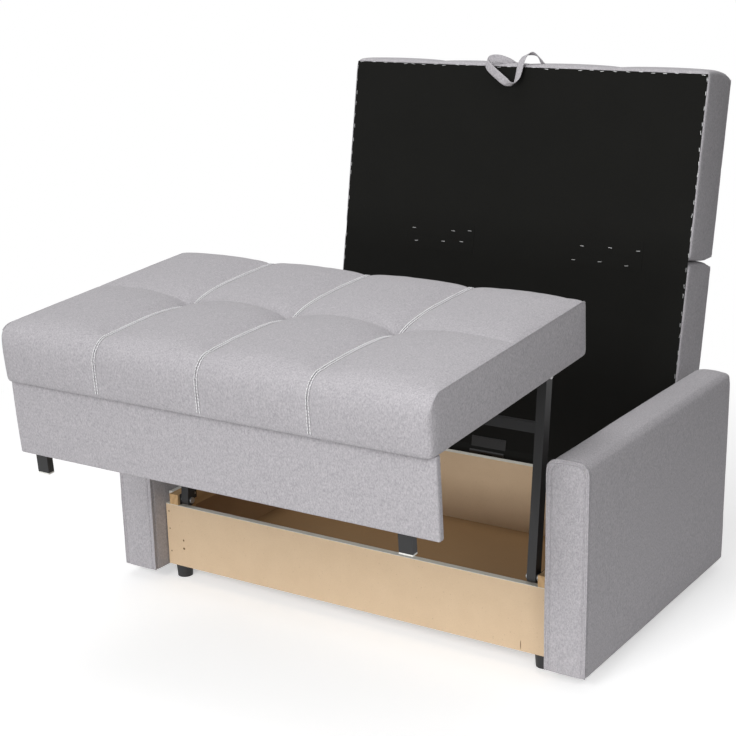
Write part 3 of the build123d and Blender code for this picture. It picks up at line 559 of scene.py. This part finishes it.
def tubeAlong(path, radius, sides):
    # Thin round tube along a list of points, with closed ends
    points, faces = [], []
    count = len(path)
    for step, centre in enumerate(path):
        ahead = path[min(step + 1, count - 1)] - path[max(step - 1, 0)]
        ahead.normalize()
        helper = Vector((0, 0, 1)) if abs(ahead.z) < 0.9 else Vector((0, 1, 0))
        across = ahead.cross(helper).normalized()
        upward = across.cross(ahead)
        for side in range(sides):
            angle = 2 * math.pi * side / sides
            points.append(centre + (across * math.cos(angle) + upward * math.sin(angle)) * radius)
    for step in range(count - 1):
        for side in range(sides):
            after = (side + 1) % sides
            faces.append((step * sides + side, (step + 1) * sides + side, (step + 1) * sides + after,
                          step * sides + after))
    faces.append(tuple(range(sides)))
    faces.append(tuple((count - 1) * sides + side for side in reversed(range(sides))))
    return points, faces


def walk(path, distance):
    for start, end in zip(path, path[1:]):
        length = (end - start).length
        if distance <= length:
            return start.lerp(end, distance / length)
        distance -= length
    return path[-1].copy()


def pathLength(path):
    return sum((b - a).length for a, b in zip(path, path[1:]))


stitching = {"length": 7.0 * mm, "gap": 1.4 * mm, "radius": 1.35 * mm, "offset": 1, "lift": 1.5 * mm,
             "arch": ((0, -0.4), (0.2, 0.5), (0.5, 0.8), (0.8, 0.5), (1, -0.4))}  # share of its length, lift in radii


def stitchAlong(path, ups, length, gap, radius):
    # Short raised threads in a row. Each dips at its ends into the cloth
    points, faces = [], []
    total = pathLength(path)
    distance = gap
    while distance + length < total:
        run = []
        for share, lift in stitching["arch"]:
            spot = walk(path, distance + length * share)
            closest = min(range(len(path)), key=lambda i: (path[i] - spot).length_squared)
            run.append(spot + ups[closest] * radius * lift)
        joined(points, faces, *tubeAlong(run, radius, 5))
        distance += length + gap
    return points, faces


def makeCushion(name, node, body, place, shape):
    low, high = localBox(node, place)
    points, faces, index, xs, ys, zs = cushionShape(shape, low, high)
    piece = addPiece(name, points, faces, body, "grey_fabric", replaces=[node])
    nx, ny, nz = len(xs) - 1, len(ys) - 1, len(zs) - 1
    middleRow = nearest(ys, (low.y + high.y) / 2)
    seamColumns = [nearest(xs, c) for c in shape["channels"]]
    downFront, downRear = shape["freeEnds"]
    pins = [0.0] * len(points)
    for (i, j, k), vertex in index.items():
        if k == 0 or (k == nz and i in (0, nx)) or (i in seamColumns):
            pins[vertex] = 1.0
        elif k == nz and j == middleRow:
            pins[vertex] = shape["rowHold"]
        elif (j == 0 and not downFront) or (j == ny and not downRear):
            pins[vertex] = shape["endHold"]
        elif k <= 1:
            pins[vertex] = shape["footHold"]
    settle(piece, pins, shape)
    base = [v.co.copy() for v in piece.data.vertices]
    normals = meshNormals(base, faces)

    def seamPath(column):
        skin = [(column, 0, k) for k in range(1, nz)] if downFront else []
        skin += [(column, j, nz) for j in range(ny + 1)]
        skin += [(column, ny, k) for k in range(nz - 1, 0, -1)] if downRear else []
        rows = [index[key] for key in skin]
        return [base[v] + normals[v] * stitching["lift"] for v in rows], [normals[v] for v in rows]

    threadPoints, threadFaces = [], []
    for column in seamColumns:
        for side in shape["stitchSides"]:
            path, ups = seamPath(column + side * stitching["offset"])
            joined(threadPoints, threadFaces,
                   *stitchAlong(path, ups, stitching["length"], stitching["gap"], stitching["radius"]))
    addPiece(name + "Stitches", threadPoints, threadFaces, body, "thread", place)
    for column, label in ((0, "SeamLeft"), (nx, "SeamRight")):
        rows = [index[column, j, nz] for j in range(2, ny - 1)]
        path = [base[v] + normals[v] * shape["seamLift"] for v in rows]
        addPiece(name + label, *tubeAlong(path, shape["seamRadius"], 8), body, "grey_fabric", place)
    piece.data.transform(place)
    piece.data.update()
    smoothOnce(piece)


seatShape = {
    "spacing": 11 * mm, "stitchStep": 4 * mm, "channels": [-0.315, 0.0, 0.315], "sideHeight": 144 * mm,
    "frontRadius": 56 * mm, "rearRadius": 34 * mm, "sideRadius": 9 * mm, "cornerRadius": 20 * mm,
    "bottomRadius": 7 * mm,
    # how the filling rises between the seams
    "dome": 13 * mm, "columnRound": 0.55, "rowShare": 0.3, "rowRate": 2.4, "rowRound": 0.8, "endFall": 0.45,
    "fillRate": 1.5, "crown": 5 * mm, "belly": 2 * mm, "bellyRound": 0.7, "frontPuff": 1 * mm, "rearPuff": -17 * mm,
    # seams, tufts and ripples
    "channelDepth": 5 * mm, "channelWidth": 13 * mm, "rowDepth": 1.5 * mm, "rowWidth": 6 * mm,
    "tuftDepth": 29 * mm, "tuftWidth": 48 * mm, "spoke": 0.2, "slowRipple": 1.0 * mm, "quickRipple": 0.5 * mm,
    "sideRipple": 0.9 * mm, "seamLift": 0.5 * mm, "seamRadius": 1.3 * mm, "stitchSides": (1, -1),
    "freeEnds": (True, False),  # front and rear: an end that faces outward swells and is stitched
    # air pressure in the cloth simulation, and how firmly the sewn lines hold against it
    "stretch": 14.0, "bend": 0.9, "pressure": 1.4, "frames": 14, "cap": 8 * mm, "rowHold": 0.9, "endHold": 0.92,
    "footHold": 0.6, "fill": 0.85,
}
makeCushion("seatCushion", "seat_cushion", "seat", seatFrame, seatShape)
print("seat cushion filled")

padShape = dict(seatShape, channels=[-0.296, 0.0, 0.296], sideHeight=164 * mm, frontRadius=30 * mm,
                rearRadius=30 * mm, tuftDepth=20 * mm, tuftWidth=34 * mm, dome=11 * mm, frontPuff=-2 * mm,
                rearPuff=1 * mm, belly=-1.5 * mm, frames=12, freeEnds=(False, True))
makeCushion("lowerPanelPad", "lower_panel_cushion", "lower_panel", panelFrame, padShape)
makeCushion("upperPanelPad", "upper_panel_cushion", "upper_panel", panelFrame,
            dict(padShape, frontPuff=7 * mm, rearPuff=-2 * mm, freeEnds=(False, False)))
print("panel pads filled")


# Fascia: a wrapped board that hangs under the front of the seat
fasciaShape = {"spacing": 14 * mm, "depthSpacing": 4 * mm, "fine": 2.5 * mm, "edge": 5 * mm, "topEdge": 2 * mm,
               "puff": 1.2 * mm, "ripple": 0.8 * mm, "edgeShare": 0.3}


def makeFascia():
    low, high = localBox("seat_fascia_cover", seatFrame)
    spacing, edge, fine = fasciaShape["spacing"], fasciaShape["edge"], fasciaShape["fine"]
    xs = marks(low.x, high.x, spacing, [low.x, high.x], fine)
    ys = marks(low.y, high.y, fasciaShape["depthSpacing"])
    zs = marks(low.z, high.z, spacing, [low.z, high.z], fine)
    points, faces, _ = shell(xs, ys, zs)
    roundPair(points, low, high, 1, 2, (edge, edge, 0, fasciaShape["topEdge"]))
    roundPair(points, low, high, 0, 1, (edge,) * 4)
    roundPair(points, low, high, 0, 2, (edge, edge, 0, 0))
    normals = meshNormals(points, faces)
    moved = []
    for point, normal in zip(points, normals):
        height = (point.z - low.z) / (high.z - low.z)
        swell = fasciaShape["puff"] * math.sin(math.pi * height) + fasciaShape["ripple"] * wander(point, 6, 2)
        moved.append(point + normal * swell * (1 if abs(normal.y) > 0.7 else fasciaShape["edgeShare"]))
    smoothOnce(addPiece("fasciaCover", moved, faces, "seat", "grey_fabric", seatFrame,
                        replaces=["seat_fascia_cover"]))


makeFascia()
print("fascia wrapped")

# Arms: an upright block with a soft arched top and a sewn panel on its front
armShape = {
    "spacing": 15 * mm, "innerTop": 40 * mm, "outerTop": 34 * mm, "upright": 9 * mm, "foot": 6 * mm,
    "puff": 3.0 * mm, "topPuff": 4 * mm, "facePuff": 2.0 * mm, "domePower": 0.6,
    "border": 11 * mm, "seamPinch": 3.0 * mm, "seamWidth": 2.5 * mm, "frontPinch": 5.0 * mm, "frontWidth": 2.2 * mm,
    "slowRipple": 1.3 * mm, "quickRipple": 0.5 * mm,
    "welt": 2.6 * mm, "weltLift": 1.0 * mm,
    "stitchesBack": 6.5 * mm, "stitchLength": 4.5 * mm, "stitchGap": 2 * mm, "stitchRadius": 0.45 * mm,
    "stitchLift": 0.4 * mm,
}


def insideOutline(x, z, low, high, leftTop, rightTop):
    # How far a point of the front face lies inside the arched outline
    for radius, centre, facing in ((leftTop, low.x + leftTop, -1), (rightTop, high.x - rightTop, 1)):
        offX, offZ = (x - centre) * facing, z - (high.z - radius)
        if offX > 0 and offZ > 0:
            return radius - math.hypot(offX, offZ)
    return min(x - low.x, high.x - x, high.z - z)


def armSkin(point, normal, low, high, leftTop, rightTop, sign):
    # Where a point of the plain arm goes once the arm is padded, seamed and a little uneven
    border = armShape["border"]
    across, back, up = ((point[axis] - low[axis]) / (high[axis] - low[axis]) for axis in range(3))
    across, back, up = (domed(share, armShape["domePower"]) for share in (across, back, up))
    rise = armShape["puff"] * back * up * abs(normal.x)
    rise += armShape["topPuff"] * back * across * max(0, normal.z)
    rise += armShape["facePuff"] * up * across * abs(normal.y)
    seam = armShape["seamPinch"] * pinch(point.y - (low.y + border), armShape["seamWidth"]) * (1 - abs(normal.y))
    if normal.y < 0:
        inside = insideOutline(point.x, point.z, low, high, leftTop, rightTop)
        seam += armShape["frontPinch"] * pinch(inside - border, armShape["frontWidth"]) * abs(normal.y)
    ripple = armShape["slowRipple"] * wander(point, 5, 3 * sign) + armShape["quickRipple"] * wander(point, 17, sign)
    return point + normal * (rise - seam + ripple * (0 if normal.z < -0.7 else 1))


def makeArm(side, sign):
    low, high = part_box("arm_cover_" + side)
    spacing, border = armShape["spacing"], armShape["border"]
    xs = marks(low.x, high.x, spacing, [low.x, low.x + border, high.x - border, high.x], 1.6 * mm)
    ys = marks(low.y, high.y, spacing, [low.y, low.y + border, high.y], 2 * mm)
    zs = marks(low.z, high.z, spacing, [low.z, high.z - border, high.z], 1.6 * mm)
    points, faces, index = shell(xs, ys, zs)
    inner, outer = armShape["innerTop"], armShape["outerTop"]
    rightTop, leftTop = (outer, inner) if sign > 0 else (inner, outer)
    foot, upright = armShape["foot"], armShape["upright"]
    roundPair(points, low, high, 0, 2, (foot, foot, rightTop, leftTop))
    roundPair(points, low, high, 0, 1, (upright,) * 4)
    roundPair(points, low, high, 1, 2, (foot, foot, upright * 2, upright))
    moved = [armSkin(point, normal, low, high, leftTop, rightTop, sign)
             for point, normal in zip(points, meshNormals(points, faces))]
    piece = addPiece("arm" + side.title(), moved, faces, "box", "grey_fabric",
                     replaces=["arm_cover_" + side, "arm_seam_" + side])
    base = [v.co.copy() for v in piece.data.vertices]
    ups = meshNormals(base, faces)
    nx, nz = len(xs) - 1, len(zs) - 1

    def overTheArch(row, lift):
        # From the foot of one side over the arch to the foot of the other, at one mark along the arm
        keys = [(0, row, k) for k in range(nz)] + [(i, row, nz) for i in range(nx + 1)]
        rows = [index[key] for key in keys + [(nx, row, k) for k in range(nz - 1, -1, -1)]]
        return [base[v] + ups[v] * lift for v in rows], [ups[v] for v in rows]

    path, _ = overTheArch(0, armShape["weltLift"])
    addPiece("armWelt" + side.title(), *tubeAlong(path, armShape["welt"], 8), "box", "grey_fabric")
    path, pathUps = overTheArch(nearest(ys, low.y + armShape["stitchesBack"]), armShape["stitchLift"])
    stitches = stitchAlong(path, pathUps, armShape["stitchLength"], armShape["stitchGap"], armShape["stitchRadius"])
    addPiece("armStitches" + side.title(), *stitches, "box", "grey_fabric")
    smoothOnce(piece)


for side, sign in (("left", -1), ("right", 1)):
    makeArm(side, sign)
print("arms covered")



def sheetFaces(rows, wide, flipped=False):
    faces = []
    for row in range(rows - 1):
        for i in range(wide - 1):
            a = row * wide + i
            face = (a, a + 1, a + wide + 1, a + wide)
            faces.append((face[0], *reversed(face[1:])) if flipped else face)
    return faces


# Black dust cloth: one sheet over both panel sections, with closer marks along the fold line between them
clothShape = {"spacing": 24 * mm, "foldSpacing": 3 * mm, "foldReach": 8 * mm, "lift": 0.3 * mm, "ripple": 0.6 * mm,
              "tautEdge": 0.1}


def makeDustSheet():
    lowerLow, lowerHigh = localBox("lower_panel_cloth", panelFrame)
    upperLow, upperHigh = localBox("upper_panel_cloth", panelFrame)
    foldY = (lowerLow.y + upperHigh.y) / 2
    xs = marks(lowerLow.x, lowerHigh.x, clothShape["spacing"])
    ys = marks(upperLow.y, lowerHigh.y, clothShape["spacing"], [foldY], clothShape["foldSpacing"], 5)
    face = lowerLow.z
    taut, reach = clothShape["tautEdge"], clothShape["foldReach"]
    points = []
    for y in ys:
        for x in xs:
            edge = min(x - xs[0], xs[-1] - x, y - ys[0], ys[-1] - y)
            slack = min(1.0, edge / taut) * min(1.0, abs(y - foldY) / taut)
            ripple = clothShape["ripple"] * slack * (0.5 + 0.5 * wander((x, y, 0), 4.5, 7))
            points.append(Vector((x, y, face - clothShape["lift"] - ripple)))
    sheet = addPiece("panelDustCloth", points, sheetFaces(len(ys), len(xs), flipped=True), None, "dust_cloth",
                     panelFrame, replaces=["lower_panel_cloth", "upper_panel_cloth"])
    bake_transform(sheet)


makeDustSheet()

# Black cloth from the rear rail up to the panel's lower edge, which closes the gap at the base hinges
flapShape = {"spacing": 26 * mm, "steps": 8, "slack": 3 * mm, "inset": 4 * mm, "footInset": 2 * mm,
             "footLift": 0.4 * mm, "spare": 1 * mm}


def makeHingeFlap():
    railLow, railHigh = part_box("box_rear_rail")
    clothLow, clothHigh = localBox("lower_panel_cloth", panelFrame)
    edge = panelFrame @ Vector((0, clothHigh.y, clothLow.z))
    foot = Vector((0, railHigh.y - flapShape["footInset"], railHigh.z + flapShape["footLift"]))
    xs = marks(railLow.x + flapShape["inset"], railHigh.x - flapShape["inset"], flapShape["spacing"])
    rows = flapShape["steps"] + 1
    points = []
    for step in range(rows):
        share = step / flapShape["steps"]
        spot = foot.lerp(edge, share)
        for x in xs:
            sag = flapShape["slack"] * math.sin(math.pi * share) * (1 + 0.3 * wander((x, share, 0), 6, 5))
            points.append(Vector((x, spot.y - sag, spot.z - sag * 0.3)))
    flap = addPiece("hingeFlap", points, sheetFaces(rows, len(xs)), None, "dust_cloth")
    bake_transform(flap)
    xs[-1] - xs[0]


makeHingeFlap()
print("dust cloth stretched")

# Staples: crowns of flat wire, set by hand, so neither evenly spaced nor quite in line
staple = {
    "length": 12 * mm, "width": 1.3 * mm, "height": 0.55 * mm, "pitch": 37 * mm, "inset": 9 * mm, "endInset": 2 * mm,
    "railInset": 50 * mm, "pressedIn": 0.2 * mm, "thickness": 0.3 * mm, "backShare": 0.9,
    "uneven": 0.2, "stray": 2.2, "skew": 0.16, "webbingSkew": 0.12,  # of the pitch, mm, radians, radians
    "profile": ((-0.5, 0.3), (-0.46, -0.85), (-0.38, -1), (0.38, -1), (0.46, -0.85), (0.5, 0.3)),
}
hand = random.Random(11)


def stapleRow(points, faces, start, end, face):
    along = end - start
    count = int(along.length / staple["pitch"])
    direction = along.normalized()
    across = Vector((-direction.y, direction.x, 0))
    heading = math.atan2(direction.y, direction.x)
    for step in range(count):
        centre = start + along * ((step + 0.5 + hand.uniform(-staple["uneven"], staple["uneven"])) / count)
        centre += across * hand.uniform(-staple["stray"], staple["stray"]) * mm
        oneStaple(points, faces, centre, heading + hand.uniform(-staple["skew"], staple["skew"]), face)


def oneStaple(points, faces, centre, angle, face):
    # A crown with bent ends: its outer skin first, then its back on the cloth
    turn = Matrix.Rotation(angle, 3, "Z")
    ground = Vector((centre.x, centre.y, face))
    front, steps = len(points), len(staple["profile"]) - 1
    back, last = front + 2 * (steps + 1), 2 * steps

    def corner(share, across, height):
        spot = turn @ Vector((share * staple["length"], across * staple["width"], 0))
        points.append(ground + spot + Vector((0, 0, height)))

    for share, drop in staple["profile"]:
        for across in (-0.5, 0.5):
            corner(share, across, drop * staple["height"])
    for share, _ in staple["profile"]:
        for across in (-0.5, 0.5):
            corner(share * staple["backShare"], across, staple["thickness"])
    for step in range(steps):
        a, b = front + step * 2, back + step * 2
        faces.append((a, a + 1, a + 3, a + 2))
        faces.append((a, b, b + 2, a + 2))
        faces.append((a + 1, a + 3, b + 3, b + 1))
        faces.append((b, b + 2, b + 3, b + 1))
    faces.append((front, front + 1, back + 1, back))
    faces.append((front + last, back + last, back + last + 1, front + last + 1))


webbingStaples = {  # x and distance along the panel, both in mm
    "lower": [(-318.6, 628.1), (-222.0, 633.9), (-157.3, 638.2), (226.6, 619.6), (312.1, 621.7), (397.6, 617.8)],
    "upper": [(-330.1, 667.4), (-189.4, 668.6), (-131.0, 673.7), (250.4, 662.6), (340.4, 665.3), (429.9, 663.8)],
}


def makeStaples(section, body, hasOpenEdge):
    low, high = localBox(section + "_panel_cushion", panelFrame)
    face = localBox(section + "_panel_cloth", panelFrame)[0].z - clothShape["lift"] - staple["pressedIn"]
    inset = staple["inset"]
    points, faces = [], []
    left, right = low.x + inset, high.x - inset
    if hasOpenEdge:
        stapleRow(points, faces, Vector((left, low.y + inset, 0)), Vector((right, low.y + inset, 0)), face)
        ends = (low.y + inset, high.y - staple["endInset"])
    else:
        ends = (low.y + staple["endInset"], high.y - staple["railInset"])
    for x in (left, right):
        stapleRow(points, faces, Vector((x, ends[0], 0)), Vector((x, ends[1], 0)), face)
    strapFace = localBox("fold_webbing_" + section, panelFrame)[0].z
    for x, along in webbingStaples[section]:
        skew = hand.uniform(-staple["webbingSkew"], staple["webbingSkew"])
        oneStaple(points, faces, Vector((x * mm, -along * mm, 0)), skew, strapFace)
    addPiece(section + "PanelStaples", points, faces, body, "zinc", panelFrame, smooth=False,
             replaces=[section + "_panel_staples"])


makeStaples("lower", "lower_panel", False)
makeStaples("upper", "upper_panel", True)
print("staples set")

# Pull strap: a doubled fabric tape whose ends go over the panel's top edge
tape = {"thickness": 2.2 * mm, "edgeShare": 0.35, "steps": 5, "turnStart": 24 * mm, "turnEnd": 8 * mm,
        "shares": (-1, -0.93, -0.5, 0, 0.5, 0.93, 1)}
tapeRoute = [  # x, back along the panel, out from its face, then the tape's half width as x, along, out
    ((-38, -1180.5, 50), (12, 0, 0)),
    ((-42, -1182, 34), (11, -2, 3)),
    ((-58, -1188, 20), (6, -9, 5)),
    ((-84, -1194, 9), (2, -11, 4)),
    ((-106, -1190, -1), (1, -12, 1)),
    ((-113, -1179, -6), (3, -11.5, 0)),
    ((-98, -1163, -9), (6, -10.4, 0)),
    ((-70, -1143, -10), (7, -9.8, 0)),
    ((-44, -1126, -10), (7, -9.6, -1)),
    ((-27, -1119, -11), (6, -6, -8)),
    ((-12, -1121, -13), (7, -2, -9.5)),
    ((-3, -1137, -11), (10.5, 0, -5.5)),
    ((0, -1160, -7), (11.5, -1, -3)),
    ((1, -1184, -1), (11.5, -1, -3)),
    ((8, -1204, 8), (10.5, -2, -5)),
    ((24, -1212, 18), (8, -4, -8)),
    ((42, -1203, 28), (8.5, 3, -8)),
    ((53, -1187, 36), (10.5, 2, -5)),
    ((56, -1181, 50), (12, 0, 0)),
]


def smoothRoute(values):
    # A soft curve through every value
    line = []
    for step in range(len(values) - 1):
        p = [values[min(max(step + shift, 0), len(values) - 1)] for shift in (-1, 0, 1, 2)]
        for part in range(tape["steps"]):
            t = part / tape["steps"]
            line.append(0.5 * (2 * p[1] + (p[2] - p[0]) * t + (2 * p[0] - 5 * p[1] + 4 * p[2] - p[3]) * t ** 2
                               + (3 * p[1] - p[0] - 3 * p[2] + p[3]) * t ** 3))
    return line + [values[-1]]


def makePullStrap():
    centres = smoothRoute([Vector(spot) * mm for spot, _ in tapeRoute])
    widths = smoothRoute([Vector(width) * mm for _, width in tapeRoute])
    last = len(centres) - 1
    points, faces = [], []
    for step, (centre, width) in enumerate(zip(centres, widths)):
        ahead = centres[min(step + 1, last)] - centres[max(step - 1, 0)]
        out = ahead.cross(width).normalized() * tape["thickness"] / 2
        for side in (1, -1):
            for share in tape["shares"][::side]:
                thin = tape["edgeShare"] if abs(share) == 1 else 1
                points.append(centre + width * share + out * side * thin)
    ring = 2 * len(tape["shares"])
    for step in range(last):
        for corner in range(ring):
            after = (corner + 1) % ring
            faces.append((step * ring + corner, step * ring + after, (step + 1) * ring + after,
                          (step + 1) * ring + corner))
    faces.append(tuple(reversed(range(ring))))
    faces.append(tuple(last * ring + corner for corner in range(ring)))
    strap = addPiece("pullStrap", points, faces, None, "grey_fabric", panelFrame,
                     replaces=["pull_strap", "pull_strap_ends"])
    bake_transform(strap)


makePullStrap()
print("pull strap looped")

# Stage, lights and camera
stageLight = {"floor": (0.8, 0.8, 0.8, 1), "white": (1, 1, 1, 1), "floorSize": 60, "floorGlow": 0.48,
              "shadowReach": (1.5, 2.6), "world": 0.33}
lamps = [
    {"name": "keyLamp", "spot": (-0.3, -7.6, 5.0), "target": (0, 0, 0.6), "size": (2.8, 2.8), "power": 262},
    {"name": "lowLamp", "spot": (0.9, -8.4, 1.5), "target": (0, 0, 0.5), "size": (2.4, 1.6), "power": 224},
    {"name": "sideLamp", "spot": (1.9, -1.6, 1.6), "target": (0.6, -0.4, 0.7), "size": (0.5, 0.5), "power": 10},
    {"name": "topLamp", "spot": (-0.6, 0.3, 4.4), "target": (0, 0, 0.5), "size": (2.6, 2.6), "power": 54},
]


def seenDirectly(tree):
    rays = [make(tree, "ShaderNodeLightPath", {}, {}, out=ray) for ray in ("Is Camera Ray", "Is Glossy Ray")]
    return make(tree, "ShaderNodeMath", {"operation": "MAXIMUM"}, rays)


def makeStage():
    # The floor keeps the object's shadow and turns into the white background further out
    bpy.ops.mesh.primitive_plane_add(size=stageLight["floorSize"], location=(0, 0, 0))
    floor = bpy.context.object
    floor.name = "floor"
    material = bpy.data.materials.new("paleFloor")
    material.use_nodes = True
    tree = material.node_tree
    tree.nodes.clear()
    seen = seenDirectly(tree)
    place = make(tree, "ShaderNodeTexCoord", {}, {}, out="Object")
    away = make(tree, "ShaderNodeVectorMath", {"operation": "LENGTH"}, [place], out="Value")
    near, far = stageLight["shadowReach"]
    fade = make(tree, "ShaderNodeMapRange", {"interpolation_type": "SMOOTHSTEP"}, [away, near, far, 0.0, 1.0])
    matt = make(tree, "ShaderNodeBsdfDiffuse", {}, [stageLight["floor"]])
    glow = make(tree, "ShaderNodeEmission", {}, [stageLight["white"], seen * stageLight["floorGlow"]])
    lit = make(tree, "ShaderNodeAddShader", {}, [matt, glow])
    white = make(tree, "ShaderNodeEmission", {}, [stageLight["white"], seen])
    mixed = make(tree, "ShaderNodeMixShader", {}, [fade, lit, white])
    make(tree, "ShaderNodeOutputMaterial", {}, [mixed])
    floor.data.materials.append(material)
    world = bpy.data.worlds.new("paleRoom")
    scene.world = world
    world.use_nodes = True
    tree = world.node_tree
    tree.nodes.clear()
    backdrop = make(tree, "ShaderNodeBackground", {}, [stageLight["white"], 1.0])
    light = make(tree, "ShaderNodeBackground", {}, [stageLight["white"], stageLight["world"]])
    mixed = make(tree, "ShaderNodeMixShader", {}, [seenDirectly(tree), light, backdrop])
    make(tree, "ShaderNodeOutputWorld", {}, [mixed])


def addLamp(name, spot, target, size, power):
    lamp = bpy.data.lights.new(name, "AREA")
    lamp.shape = "RECTANGLE"
    lamp.size, lamp.size_y = size
    lamp.energy = power
    thing = bpy.data.objects.new(name, lamp)
    thing.location = spot
    thing.rotation_euler = (Vector(target) - Vector(spot)).to_track_quat("-Z", "Y").to_euler()
    scene.collection.objects.link(thing)


camera = {"turn": 0.588, "dip": 0.324, "roll": -0.025, "focalPixels": 1621.1, "axisPixel": (360.5, 443.1),
          "spot": (2.313, -3.6705, 1.891), "imageSize": 736, "sensor": 36.0}


def makeCamera():
    data = bpy.data.cameras.new("photoCamera")
    thing = bpy.data.objects.new("photoCamera", data)
    scene.collection.objects.link(thing)
    turn, dip, roll = camera["turn"], camera["dip"], camera["roll"]
    forward = Vector((-math.sin(turn) * math.cos(dip), math.cos(turn) * math.cos(dip), -math.sin(dip)))
    right = Vector((math.cos(turn), math.sin(turn), 0))
    upward = right.cross(forward)
    rightRolled = right * math.cos(roll) + upward * math.sin(roll)
    upRolled = upward * math.cos(roll) - right * math.sin(roll)
    turned = Matrix((rightRolled, upRolled, -forward)).transposed().to_4x4()
    thing.matrix_world = Matrix.Translation(camera["spot"]) @ turned
    data.sensor_width = camera["sensor"]
    data.lens = camera["focalPixels"] * camera["sensor"] / camera["imageSize"]
    half = camera["imageSize"] / 2
    data.shift_x = (half - camera["axisPixel"][0]) / camera["imageSize"]
    data.shift_y = (camera["axisPixel"][1] - half) / camera["imageSize"]
    scene.camera = thing


makeStage()
for lamp in lamps:
    addLamp(**lamp)
makeCamera()
scene.view_settings.view_transform = "Standard"
print("stage, lamps and camera set")
